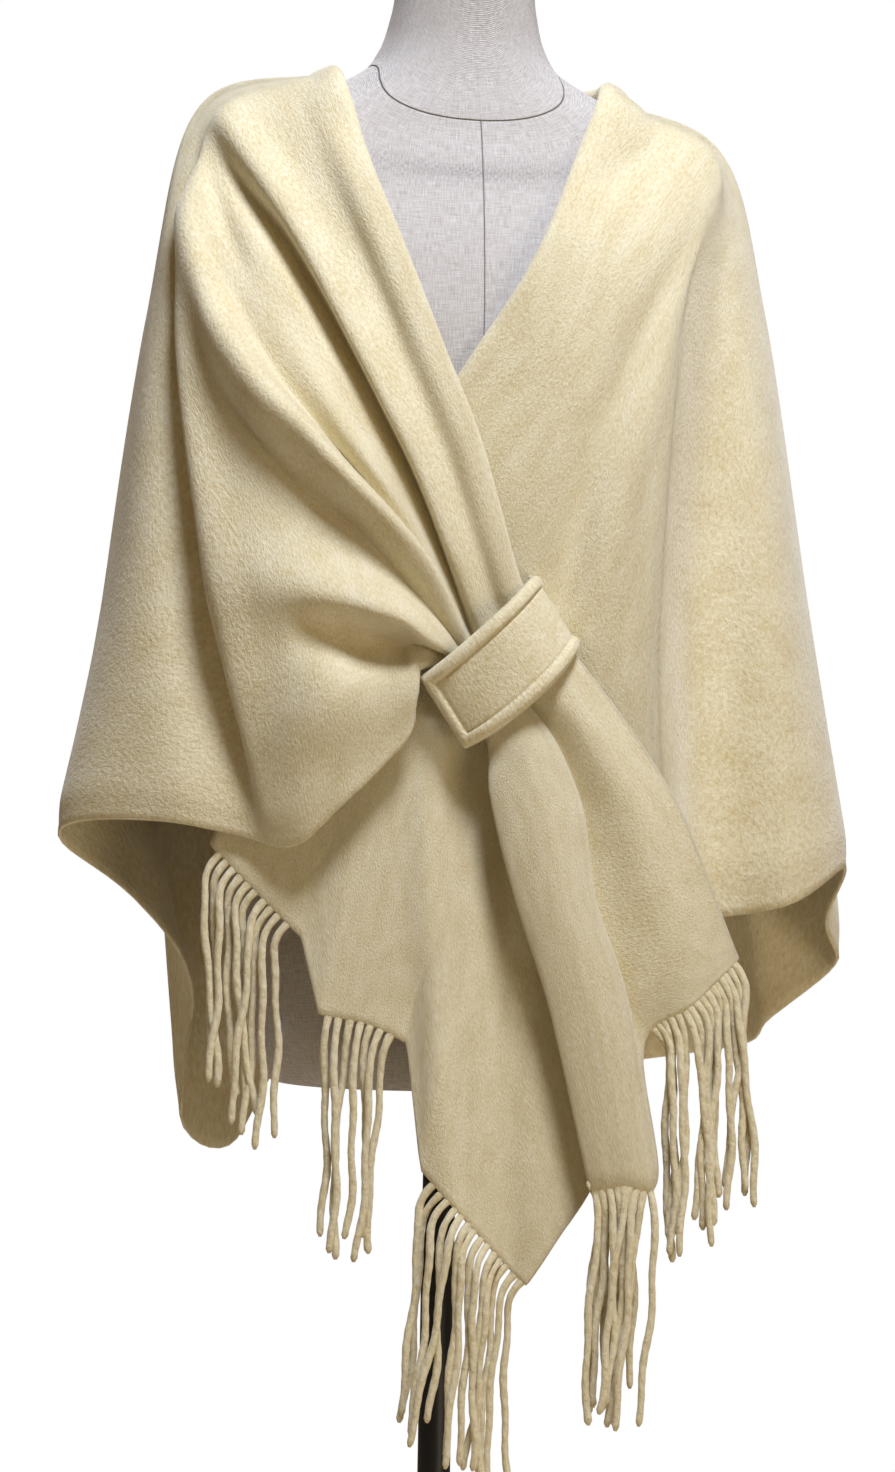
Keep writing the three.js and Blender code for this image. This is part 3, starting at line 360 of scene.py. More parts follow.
def curve_at(places, values, at):
    """Smooth values between a table's rows, by Hermite curves whose slopes come from the neighbours.
    values is (rows, 3), or (rows, count of at, 3) where each place has its own row values."""
    places = np.asarray(places, float)
    values = np.asarray(values, float)
    gaps = np.diff(places).reshape((-1,) + (1,) * (values.ndim - 1))
    rises = np.diff(values, axis=0) / gaps
    slopes = np.empty_like(values)
    slopes[0] = rises[0]
    slopes[-1] = rises[-1]
    slopes[1:-1] = (rises[:-1] * gaps[1:] + rises[1:] * gaps[:-1]) / (gaps[:-1] + gaps[1:])
    index = np.clip(np.searchsorted(places, at) - 1, 0, len(places) - 2)
    span = (places[index + 1] - places[index])[:, None]
    u = (at - places[index])[:, None] / span
    pick = (index, np.arange(len(index))) if values.ndim == 3 else (index,)
    following = (index + 1, np.arange(len(index))) if values.ndim == 3 else (index + 1,)
    return ((2 * u**3 - 3 * u**2 + 1) * values[pick] + (u**3 - 2 * u**2 + u) * span * slopes[pick]
            + (3 * u**2 - 2 * u**3) * values[following] + (u**3 - u**2) * span * slopes[following])


FORM_ROWS = np.array(FORM, float)


def form_at(z):
    """The form's half width, front depth, back depth and lean at each height."""
    z = np.clip(z, FORM_BOTTOM, NECK_TOP)
    sizes = curve_at(FORM_ROWS[:, 0], FORM_ROWS[:, 1:4], z)
    lean = curve_at(FORM_ROWS[:, 0], FORM_ROWS[:, 4:5], z)
    return sizes[:, 0], sizes[:, 1], sizes[:, 2], lean[:, 0]


def outside_form(points):
    """How far points lie outside the form, as a share of the section's own radius."""
    side, front, back, lean = form_at(points[:, 2])
    y = points[:, 1] - lean
    depth = np.where(y < 0, front, back)
    across = np.abs(points[:, 0] / side) ** FORM_ROUNDNESS + np.abs(y / depth) ** FORM_ROUNDNESS
    return across ** (1 / FORM_ROUNDNESS) - 1


def clear_form(points, clearance):
    """Points moved out of the form until each is its clearance away from it."""
    points = points.copy()
    for _ in range(CLEAR_PASSES):
        here = outside_form(points)
        steps = [(outside_form(points + POINT_PROBE * axis) - here) / POINT_PROBE for axis in np.eye(3)]
        gradient = np.stack(steps, axis=1)
        steepness = np.maximum(np.linalg.norm(gradient, axis=1), 1e-9)
        short = np.maximum(clearance - here / steepness, 0)
        points += gradient / steepness[:, None] * short[:, None]
    return points


SECTION_PLACES = [row[0] for row in SECTIONS]
SECTION_COLUMNS = [np.array([row[1 + k] for row in SECTIONS], float) for k in range(5)]
LAP_ROWS = np.array(LAPS, float)


def plain_shawl(s, t):
    """The shawl's middle surface before its folds."""
    columns = np.stack([curve_at(SECTION_PLACES, column, s) for column in SECTION_COLUMNS])
    points = curve_at(np.linspace(0, 1, 5), columns, t)
    fade = 1 - ease(0, LAP_REACH, s)
    points[:, 2] += fade * np.interp(t, LAP_ROWS[:, 0], LAP_ROWS[:, 1])
    points[:, 1] -= fade * np.interp(t, LAP_ROWS[:, 0], LAP_ROWS[:, 2])
    return points


def directions(surface, s, t):
    """The surface's outward normal, and its direction along t."""
    along_s = surface(s + S_PROBE, t) - surface(s - S_PROBE, t)
    along_t = surface(s, t + T_PROBE) - surface(s, t - T_PROBE)
    return unit(np.cross(along_t, along_s)), unit(along_t)


def fold_shape(s, t):
    """How far the folds lift the cloth at each place, and how far they shift it towards the hem."""
    rise = np.zeros_like(s)
    shift = np.zeros_like(s)
    for _, lean, rows in FOLDS:
        rows = np.array(rows, float)
        middle, width, height = curve_at(rows[:, 0], rows[:, 1:], np.clip(s, rows[0, 0], rows[-1, 0])).T
        share = bell((t - middle) / width)
        rise += height * share
        shift += lean * height / np.abs(rows[:, 3]).max() * share
    for _, centre, width, height, start in FLUTES:
        rise += height * ease(start, 1, t) * bell((s - centre) / width)
    return rise, shift


def spread(s, t):
    """The middle surface with its folds, clear of the form. Its neck edge stands off by its curl, and its
    hem tucks under a little where it hangs free."""
    rise, shift = fold_shape(s, t)
    rise = rise - HEM_TUCK * ease(HEM_T, 1, t) ** 2 * ease(*HEM_FROM, s) * (1 - ease(*HEM_TO, s))
    normal, along_t = directions(plain_shawl, s, t)
    points = plain_shawl(s, t) + normal * rise[:, None] + along_t * shift[:, None]
    return clear_form(points, CLEARANCE + CURL_LIFT * (1 - ease(0, CURL_EASE, t)))


def shawl(s, t):
    """The whole middle surface: t below 0 is the neck edge, curled under."""
    edge_t = np.maximum(t, 0)
    points = spread(s, edge_t)
    under = t < 0
    if under.any():
        su = s[under]
        edge = points[under]
        inward = unit(spread(su, np.full_like(su, CURL_T / 3)) - edge)
        normal, _ = directions(lambda x, y: spread(x, np.maximum(y, 0)), su, np.zeros_like(su))
        turn = np.minimum(-t[under] / CURL_T, 1)[:, None] * CURL_TURN
        points[under] = edge - CURL_RADIUS * (np.sin(turn) * inward + (1 - np.cos(turn)) * normal)
    return points


def tail_columns():
    """The tail's places along s, and the line of points that each of its columns follows from the strap."""
    places = [0] + [row[0] for row in TAIL]
    starts = shawl(np.full(len(TAIL_START), float(STRAP_S)), np.array(TAIL_START, float))
    columns = [[start] + [row[1 + k] for row in TAIL] for k, start in enumerate(starts)]
    return places, [np.array(column, float) for column in columns]


TAIL_PLACES, TAIL_COLUMNS = tail_columns()


def tail(s, u):
    """The tail's middle surface, s from 0 at the strap to TAIL_END at the fringe."""
    columns = np.stack([curve_at(TAIL_PLACES, column, s) for column in TAIL_COLUMNS])
    return curve_at(np.linspace(0, 1, len(TAIL_START)), columns, u)


def whole_cloth(s, t):
    """The one length of cloth, from the left front's fringe through the strap to the tail's fringe.
    Past STRAP_S the tail takes over, and the folds at the strap fade into its lobes."""
    points = np.empty((len(s), 3))
    body = s <= STRAP_S
    points[body] = shawl(s[body], t[body])
    below = ~body
    if below.any():
        st = s[below] - STRAP_S
        tt = t[below]
        u = np.interp(np.clip(tt, 0, 1), TAIL_START, np.linspace(0, 1, len(TAIL_START)))
        at_strap = np.full_like(st, float(STRAP_S))
        join = shawl(at_strap, tt) - tail(np.zeros_like(st), u)
        points[below] = tail(st, u) + join * (1 - ease(0, JOIN_REACH, st))[:, None]
        curled = tt < 0
        if curled.any():
            edge = tail(st[curled], np.zeros(curled.sum()))
            inner = tail(st[curled], np.full(curled.sum(), CURL_T))
            small = (-tt[curled] / CURL_T)[:, None]
            roll = edge - unit(inner - edge) * EDGE_ROLL * small + np.array([0, EDGE_TUCK, 0]) * small**2
            keep = ease(0, JOIN_REACH, st[curled])[:, None]
            mixed = points[below]
            mixed[curled] = mixed[curled] * (1 - keep) + roll * keep
            points[below] = mixed
    return points


def grid_normals(grid):
    """The outward normal at each point of a grid that runs along s, then t."""
    return unit(np.cross(np.gradient(grid, axis=1), np.gradient(grid, axis=0)))


def shell(name, grid, thickness, uv_size, rises=None):
    """A closed shell round a grid of middle points in mm, rounded at its rim, with a UV map of its flat size
    in metres."""
    rows, columns = grid.shape[:2]
    normals = grid_normals(grid)
    half = thickness / 2
    outer = grid + normals * (half + (0 if rises is None else rises[..., None]))
    inner = grid - normals * half
    rim = [(0, j) for j in range(columns)] + [(i, columns - 1) for i in range(1, rows)]
    rim += [(rows - 1, j) for j in range(columns - 2, -1, -1)] + [(i, 0) for i in range(rows - 2, 0, -1)]
    rim_points = []
    for i, j in rim:
        out_s = grid[i, j] - grid[min(i + 1, rows - 1), j] if i == 0 else grid[i, j] - grid[i - 1, j]
        out_t = grid[i, j] - grid[i, min(j + 1, columns - 1)] if j == 0 else grid[i, j] - grid[i, j - 1]
        away = np.zeros(3)
        if i in (0, rows - 1):
            away += unit(out_s)
        if j in (0, columns - 1):
            away += unit(out_t)
        rim_points.append(grid[i, j] + unit(away) * half)
    vertices = np.concatenate([outer.reshape(-1, 3), inner.reshape(-1, 3), np.array(rim_points)])
    number = np.arange(rows * columns).reshape(rows, columns)
    low = number + rows * columns
    a, b, c, d = number[:-1, :-1], number[:-1, 1:], number[1:, 1:], number[1:, :-1]
    faces = [np.stack([a, b, c, d], -1).reshape(-1, 4)]
    a, b, c, d = low[:-1, :-1], low[1:, :-1], low[1:, 1:], low[:-1, 1:]
    faces.append(np.stack([a, b, c, d], -1).reshape(-1, 4))
    ring = np.array([number[i, j] for i, j in rim])
    ring_next = np.roll(ring, -1)
    edge = 2 * rows * columns + np.arange(len(rim))
    edge_next = np.roll(edge, -1)
    under = ring + rows * columns
    under_next = ring_next + rows * columns
    faces.append(np.stack([ring_next, ring, edge, edge_next], -1))
    faces.append(np.stack([edge_next, edge, under, under_next], -1))
    flat = np.stack(np.meshgrid(np.linspace(0, uv_size[0], rows), np.linspace(0, uv_size[1], columns),
                                indexing="ij"), -1).reshape(-1, 2)
    places = np.concatenate([flat, flat, np.array([flat[i * columns + j] for i, j in rim])])
    return add_piece(name, vertices, np.concatenate(faces).tolist(), "Cut", places)


def add_piece(name, points, faces, map_name, flat):
    """A smooth piece from points in mm and its faces, with a UV map of where each lies flat, in metres."""
    mesh = bpy.data.meshes.new(name)
    mesh.from_pydata((points * MM).tolist(), [], faces)
    corners = np.empty(len(mesh.loops), int)
    mesh.loops.foreach_get("vertex_index", corners)
    mesh.uv_layers.new(name=map_name).data.foreach_set("uv", flat[corners].ravel())
    mesh.polygons.foreach_set("use_smooth", [True] * len(mesh.polygons))
    mesh.update()
    piece = bpy.data.objects.new(name, mesh)
    bpy.context.collection.objects.link(piece)
    return piece


def finish_piece(piece, material, slot, *nodes):
    """Gives a piece its material, and puts it in place of its CAD nodes. slot is not used."""
    piece.data.materials.clear()
    piece.data.materials.append(material)
    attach(piece, BODY)
    if nodes:
        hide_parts(*nodes)
    return piece


def add_node(tree, kind, settings=None, links=None):
    """Adds a shader node. settings are its own properties or its sockets' values; links feed its sockets."""
    node = tree.nodes.new("ShaderNode" + kind)
    for name, value in (settings or {}).items():
        if isinstance(name, str) and hasattr(node, name):
            setattr(node, name, value)
        else:
            node.inputs[name].default_value = value
    for name, source in (links or {}).items():
        tree.links.new(source, node.inputs[name])
    return node


def new_material(name, settings):
    """A material with one Principled shader, whose constant settings stand on its own sockets."""
    material = bpy.data.materials.new(name)
    material.use_nodes = True
    tree = material.node_tree
    shader = tree.nodes["Principled BSDF"]
    for socket, value in settings.items():
        shader.inputs[socket].default_value = value
    return material, tree, shader


def rgba(color):
    """A colour with full cover."""
    return (*color[:3], 1)


def brushed_wool(name, color, shade, ply=0):
    """Woven wool, fulled and brushed: matt, with a soft sheen from its raised nap and faint mottling where
    the nap lies in different ways. ply is the length that one ply of a twisted strand shows, in metres."""
    material, tree, shader = new_material(name, {
        "Roughness": 0.95, "Sheen Weight": 0.6, "Sheen Roughness": 0.45, "Sheen Tint": (1, 1, 0.97, 1),
        "Specular IOR Level": 0.15})
    place = add_node(tree, "TexCoord").outputs["UV"]
    stretched = add_node(tree, "Mapping", {"Scale": (1, 0.6, 1)}, {"Vector": place}).outputs[0]
    clouds = add_node(tree, "TexNoise", {"Scale": 1 / MOTTLING, "Detail": 3.0}, {"Vector": place})
    nap = add_node(tree, "TexNoise", {"Scale": 1 / NAP, "Detail": 4.0, "Roughness": 0.7},
                   {"Vector": stretched})
    fibres = add_node(tree, "TexNoise", {"Scale": 1 / FIBRE, "Detail": 2.0}, {"Vector": stretched})
    blend = add_node(tree, "Math", {"operation": "MULTIPLY_ADD", 1: 0.7}, {0: nap.outputs[0]})
    soft = add_node(tree, "Math", {"operation": "MULTIPLY", 1: 0.3}, {0: clouds.outputs[0]})
    tree.links.new(soft.outputs[0], blend.inputs[2])
    ramp = add_node(tree, "MapRange", {"From Min": 0.35, "From Max": 0.6}, {"Value": blend.outputs[0]})
    tint = add_node(tree, "Mix", {"data_type": "RGBA", 6: rgba(shade), 7: rgba(color)}, {0: ramp.outputs[0]})
    tree.links.new(tint.outputs[2], shader.inputs["Base Color"])
    bump = add_node(tree, "Bump", {"Strength": 0.7, "Distance": 0.0006}, {"Height": fibres.outputs[0]})
    bump = add_node(tree, "Bump", {"Strength": 0.85, "Distance": 0.0013},
                    {"Height": nap.outputs[0], "Normal": bump.outputs[0]})
    if ply:
        plies = add_node(tree, "TexWave", {"bands_direction": "DIAGONAL", "Scale": 2 * BAND / ply,
                                           "Distortion": 1.0}, {"Vector": place})
        bump = add_node(tree, "Bump", {"Strength": 0.4, "Distance": 0.0006},
                        {"Height": plies.outputs["Fac"], "Normal": bump.outputs[0]})
    tree.links.new(bump.outputs[0], shader.inputs["Normal"])
    return material


def linen_cover(name, color, shade, thread_and_shade):
    """Plain-woven linen stretched over the form: dry and matt, its threads uneven in thickness. Its seams
    show as thin dark lines: the thread's colour with painted shade laid along their grooves."""
    material, tree, shader = new_material(name, {
        "Roughness": 0.85, "Sheen Weight": 0.15, "Specular IOR Level": 0.2})
    place = add_node(tree, "TexCoord").outputs["UV"]
    heights = []
    for direction, stretch in (("X", (1, 0.07, 1)), ("Y", (0.07, 1, 1))):
        wave = add_node(tree, "TexWave", {"bands_direction": direction, "Scale": BAND / LINEN_THREAD,
                                          "Distortion": 0.4, "Detail": 1.0, "Detail Scale": 0.4},
                        {"Vector": place})
        along = add_node(tree, "Mapping", {"Scale": stretch}, {"Vector": place}).outputs[0]
        slub = add_node(tree, "TexNoise", {"Scale": 1 / LINEN_SLUB, "Detail": 1.0}, {"Vector": along})
        pair = {0: wave.outputs["Fac"], 1: slub.outputs[0]}
        thick = add_node(tree, "Math", {"operation": "MULTIPLY"}, pair)
        heights.append((thick.outputs[0], slub.outputs[0]))
    weave = add_node(tree, "Math", {"operation": "MAXIMUM"}, {0: heights[0][0], 1: heights[1][0]})
    slubs = add_node(tree, "Math", {"operation": "ADD"}, {0: heights[0][1], 1: heights[1][1]})
    tone = add_node(tree, "MapRange", {"From Min": 0.55, "From Max": 1.25}, {"Value": slubs.outputs[0]})
    tint = add_node(tree, "Mix", {"data_type": "RGBA", 6: rgba(shade), 7: rgba(color)}, {0: tone.outputs[0]})
    # Along the seams' grooves the colour turns dark: the thread's colour together with painted shade in the
    # grooves.
    seam = add_node(tree, "Attribute", {"attribute_name": "seam"})
    stitched_and_shaded = add_node(tree, "Mix", {"data_type": "RGBA", 7: rgba(thread_and_shade)},
                        {0: seam.outputs["Fac"], 6: tint.outputs[2]})
    tree.links.new(stitched_and_shaded.outputs[2], shader.inputs["Base Color"])
    bump = add_node(tree, "Bump", {"Strength": 0.8, "Distance": 0.0006}, {"Height": weave.outputs[0]})
    tree.links.new(bump.outputs[0], shader.inputs["Normal"])
    return material


def powder_coat(name, color, roughness):
    """Baked powder paint on steel, or a lacquer like it on wood: semi-matt, with a fine orange peel."""
    material, tree, shader = new_material(name, {"Roughness": roughness, "Base Color": rgba(color)})
    place = add_node(tree, "TexCoord").outputs["Object"]
    grain = add_node(tree, "TexNoise", {"Scale": 1 / ORANGE_PEEL, "Detail": 2.0}, {"Vector": place})
    bump = add_node(tree, "Bump", {"Strength": 0.3, "Distance": 0.0002}, {"Height": grain.outputs[0]})
    tree.links.new(bump.outputs[0], shader.inputs["Normal"])
    wear = add_node(tree, "TexNoise", {"Scale": 1 / PAINT_WEAR, "Detail": 4.0}, {"Vector": place})
    spread_range = add_node(tree, "MapRange", {"To Min": roughness - 0.06, "To Max": roughness + 0.08},
                            {"Value": wear.outputs[0]})
    tree.links.new(spread_range.outputs[0], shader.inputs["Roughness"])
    return material


def length_property(name, description, default, **limits):
    """A size in metres that the user can change."""
    return FloatProperty(name=name, description=description, default=default, unit="LENGTH", **limits)


def color_property(name, description, color):
    """A linear colour that the user can change."""
    return FloatVectorProperty(name=name, description=description, default=color, subtype="COLOR",
                               min=0, max=1)


def power_property(name, description, default):
    """A light's power or strength that the user can change."""
    return FloatProperty(name=name, description=description, default=default, min=0)


def count_property(name, description, default, least):
    """A whole number that the user can change."""
    return IntProperty(name=name, description=description, default=default, min=least)


class ShawlSizes(bpy.types.PropertyGroup):
    thickness: length_property("Thickness", "Thickness of the fulled wool", 0.0026, min=0.001, max=0.004)
    cut_width: length_property("Cut width", "Width of the shawl laid flat, from neck edge to hem", 0.64)
    cut_length: length_property("Cut length", "Length of the shawl laid flat, without its fringes", 1.90)
    rows: count_property("Rows", "Rows of the mesh along the shawl", 322, 40)
    columns: count_property("Columns", "Columns of the mesh across the shawl", 128, 20)
    wool: color_property("Wool", "Colour of the wool where its nap catches light", linear("F3EACB"))
    wool_shade: color_property("Wool shade", "Colour of the wool between its fibres", linear("DAC99A"))


class FringeSizes(bpy.types.PropertyGroup):
    strands: count_property("Strands at each end", "Places for strands along each short edge", 54, 10)
    length: length_property("Strand length", "Length of the twisted strands", 0.158)
    radius: length_property("Strand radius", "Half the thickness of a strand", 0.0028)


class StrapSizes(bpy.types.PropertyGroup):
    width: length_property("Strap width", "Width of the sewn strap", 0.056)
    thickness: length_property("Strap thickness", "Thickness of the strap's two layers", 0.003)
    welt: length_property("Welt width", "Width of the rolled welt round its edges", 0.008)
    welt_rise: length_property("Welt rise", "How far the welt stands proud of the strap", 0.0025)


class FormSizes(bpy.types.PropertyGroup):
    linen: color_property("Linen", "Colour of the form's linen cover", linear("E3E0DE"))
    linen_shade: color_property("Linen shade", "Colour between the linen's threads", linear("B3A8A1"))
    # The seam colour is the thread's, with painted shade laid along the seams' grooves.
    seam_thread_and_shade: color_property("Seam", "Colour of the seams' thread and shadow", linear("6A605A"))
    around: count_property("Sides", "Columns of the mesh round the form", 112, 24)
    seam: length_property("Seam depth", "Depth of the seams' grooves", 0.0009)


class StandSizes(bpy.types.PropertyGroup):
    base_radius: length_property("Base radius", "Radius of the round base plate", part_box("stand_base")[1][0])
    base_height: length_property("Base height", "Thickness of the base plate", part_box("stand_base")[1][2])
    pole_radius: length_property("Pole radius", "Radius of the steel pole", 0.012)
    black: color_property("Black", "Colour of the stand's paint", linear("16171A"))


class StageSizes(bpy.types.PropertyGroup):
    floor_radius: length_property("Floor radius", "Radius of the pale floor", 1.6)
    floor: color_property("Floor", "Colour of the pale floor", (0.8, 0.7, 0.55))
    sky: power_property("Sky", "Strength of the warm light from all round", 0.13)
    sky_color: color_property("Sky colour", "Colour of the light from all round", (1, 0.72, 0.4))
    key_power: power_property("Key light", "Power of the main soft light in watts", 45)
    fill_power: power_property("Fill light", "Power of the soft low light in front in watts", 12)
    back_power: power_property("Back light", "Power of the soft light behind in watts", 24)


class SHAWL_OT_cloth(bpy.types.Operator):
    """Makes the shawl's one length of cloth, spread over the form and gathered at the strap"""
    bl_idname = "shawl.cloth"
    bl_label = "Shawl cloth"

    def execute(self, context):
        sizes = context.scene.shawl_cloth
        s = np.linspace(0, STRAP_S + TAIL_END, sizes.rows)
        t = np.concatenate([np.linspace(-CURL_T, 0, CURL_STEPS + 1)[:-1], np.linspace(0, 1, sizes.columns)])
        ss, tt = (axis.ravel() for axis in np.meshgrid(s, t, indexing="ij"))
        grid = whole_cloth(ss, tt).reshape(len(s), len(t), 3)
        cloth = shell("shawl", grid, sizes.thickness / MM, (sizes.cut_length, sizes.cut_width))
        wool = brushed_wool("brushed wool", sizes.wool, sizes.wool_shade)
        finish_piece(cloth, wool, "brushed_wool", "left_front_panel", "back_panel", "right_front_panel",
                     "gathered_tail")
        return {"FINISHED"}


def uneven(seed):
    """A repeatable uneven number from -1 to 1."""
    wave = math.sin(seed * UNEVEN_STEP) * UNEVEN_SIZE
    return 2 * (wave - math.floor(wave)) - 1


def strand_roots(surface, edge, outwards, count):
    """Where strands leave an edge of a surface: the root, the direction away from the cloth, the direction
    along the edge, and the index. A steep stretch of the edge is inside a lap, where no strand shows."""
    def at(t, s=edge):
        return surface(np.array([float(s)]), np.array([float(t)]))[0]

    def along(t, reach):
        return unit(at(min(t + reach, 1)) - at(max(t - reach, 0)))

    t_walk = np.linspace(0, 1, WALK_STEPS + 1)
    line = surface(np.full(WALK_STEPS + 1, float(edge)), t_walk)
    walk = np.concatenate([[0], np.cumsum(np.linalg.norm(np.diff(line, axis=0), axis=1))])
    roots = []
    for index in range(count):
        t = t_walk[np.searchsorted(walk, walk[-1] * (index + 0.5) / count)]
        if abs(along(t, LAP_T)[2]) > STEEP:
            continue
        tangent = along(t, T_REACH)
        direction = unit(at(t) - at(t, edge - outwards * 2 * S_PROBE))
        direction = unit(direction - tangent * np.dot(direction, tangent))
        roots.append((at(t) - direction * ROOT_IN, direction, tangent, index))
    return roots


def strand_rings(points, edge, widths, depths, twist):
    """Rings round a line of points: flat along the cloth's edge at the root, then two plies twisted."""
    tangents = unit(np.gradient(points, axis=0))
    root = ease(0, 0.12, np.linspace(0, 1, len(points)))[:, None]
    across = unit(np.cross(tangents, np.tile([0, 1.0, 0], (len(points), 1))))
    across = unit(edge * np.sign(np.dot(edge, across[-1])) * (1 - root) + across * root)
    across = unit(across - tangents * (across * tangents).sum(1, keepdims=True))
    deep = np.cross(tangents, across)
    angles = 2 * np.pi * np.arange(STRAND_SIDES) / STRAND_SIDES
    lobes = 1 + PLY_LOBES * np.cos(2 * (angles[None, :] - twist[:, None]))
    return (points[:, None] + across[:, None] * (np.cos(angles) * lobes * widths[:, None])[..., None]
            + deep[:, None] * (np.sin(angles) * lobes * depths[:, None])[..., None])


def fringe(name, surface, edge, outwards, seed, sizes):
    """A row of twisted strands along an edge, as one mesh."""
    length = sizes.length / MM
    radius = sizes.radius / MM
    rings = STRAND_RINGS
    sides = STRAND_SIDES
    u = np.linspace(0, 1, rings)
    turn = ease(0.02, 0.2, u)[:, None]
    flat = 1 - ease(0.02, 0.11, u)
    taper = np.where(u > 1 - TIP, np.sqrt(np.clip((1 - u) / TIP, 0.2, 1)), 1)
    number = np.arange(rings * sides).reshape(rings, sides)
    following = np.roll(number, -1, axis=1)
    walls = np.stack([number[:-1], number[1:], following[1:], following[:-1]], -1).reshape(-1, 4)
    angle = np.arange(sides) / sides * 2 * math.pi * sizes.radius
    vertices = []
    faces = []
    places = []
    for root, direction, tangent, index in strand_roots(surface, edge, outwards, sizes.strands):
        long = length * (1 + UNEVEN_LENGTH * uneven(index + seed + 100)) + ROOT_IN
        phase = 3 * uneven(index + seed + 40)
        side = STAGGER if index % 2 else -STAGGER
        lean = LEAN * uneven(index + seed + 20) + WILD_LEAN * uneven(index * 3 + seed) ** 5
        away = unit(direction * (1 - turn) + np.array([lean, 0, -1]) * turn)
        points = root + np.concatenate([[np.zeros(3)], np.cumsum(away[:-1] * long / (rings - 1), axis=0)])
        points[:, 0] += SLOW_SWAY * np.sin(6 * u + phase) * u
        points[:, 0] += QUICK_SWAY * np.sin(17 * u + 2 * phase) * ease(0.1, 0.4, u)
        points[:, 1] += side * ease(0.02, 0.25, u) + DEEP_SWAY * np.sin(7 * u + 1.7 * phase) * u
        thick = radius * (0.93 + 0.07 * np.sin(13 * u + phase)) * taper
        widths = thick * (1 + ROOT_WIDENING * flat)
        depths = thick * (1 - ROOT_FLATNESS * flat)
        twist = 2 * np.pi * long * u / STRAND_TURN + phase
        first = len(vertices) * rings * sides
        vertices.append(strand_rings(points, tangent, widths, depths, twist).reshape(-1, 3))
        faces += (walls + first).tolist()
        faces.append((number[0] + first).tolist())
        faces.append((number[-1][::-1] + first).tolist())
        place = np.broadcast_arrays(angle[None, :] + index, (u * long * MM)[:, None])
        places.append(np.stack(place, -1).reshape(-1, 2))
    return add_piece(name, np.concatenate(vertices), faces, "Strand", np.concatenate(places))


class SHAWL_OT_fringes(bpy.types.Operator):
    """Makes the twisted fringes along the shawl's two short edges"""
    bl_idname = "shawl.fringes"
    bl_label = "Fringes"

    def execute(self, context):
        sizes = context.scene.shawl_fringe
        cloth = context.scene.shawl_cloth
        wool = brushed_wool("twisted wool fringe", cloth.wool, cloth.wool_shade, ply=STRAND_TURN / 2 * MM)
        rows = (("left_front_fringe", shawl, 0, -1, 1), ("tail_fringe", tail, TAIL_END, 1, 7))
        for node, surface, edge, outwards, seed in rows:
            row = fringe(node + "_strands", surface, edge, outwards, seed, sizes)
            finish_piece(row, wool, "wool_fringe", node)
        return {"FINISHED"}


class SHAWL_OT_strap(bpy.types.Operator):
    """Makes the welted strap that the tail is pulled through"""
    bl_idname = "shawl.strap"
    bl_label = "Strap"

    def execute(self, context):
        sizes = context.scene.shawl_strap
        line = np.array(STRAP_LINE, float)
        chords = np.concatenate([[0], np.cumsum(np.linalg.norm(np.diff(line, axis=0), axis=1))])
        along = np.linspace(0, chords[-1], STRAP_ROWS)
        middle = curve_at(chords, line, along)
        width = sizes.width / MM
        welt = sizes.welt / MM
        across = np.linspace(-width / 2, width / 2, STRAP_COLUMNS)
        direction = unit(np.array(STRAP_ACROSS, float))
        arch = (1 - (2 * along / along[-1] - 1) ** 2)[:, None]
        bulge = STRAP_BULGE * arch * (LOW_SIDE_BULGE + (1 - LOW_SIDE_BULGE) * (across / width + 0.5))
        grid = middle[:, None] + direction * (across[None, :, None] + bulge[..., None])
        nearest = np.minimum((width / 2 - np.abs(across))[None, :], along[:, None])
        round_welt = np.sqrt(np.clip(1 - ((nearest - welt / 2) / (welt / 2)) ** 2, 0, 1))
        groove = bell((nearest - welt - GROOVE_PLACE) / GROOVE_WIDTH)
        rises = sizes.welt_rise / MM * round_welt - GROOVE_DEPTH * groove
        strap = shell("strap", grid, sizes.thickness / MM, (chords[-1] * MM, sizes.width), rises)
        cloth = context.scene.shawl_cloth
        wool = brushed_wool("brushed wool of the strap", cloth.wool, cloth.wool_shade)
        finish_piece(strap, wool, "brushed_wool", "strap_loop")
        return {"FINISHED"}


def form_outline(angle, z):
    """A point on the form's outline at an angle round it and a height."""
    side, front, back, lean = form_at(z)
    power = 2 / FORM_ROUNDNESS
    cosine = np.cos(angle)
    sine = np.sin(angle)
    depth = np.where(sine < 0, front, back)
    x = side * np.sign(cosine) * np.abs(cosine) ** power
    y = lean + depth * np.sign(sine) * np.abs(sine) ** power
    return np.stack([x, y, z], -1)


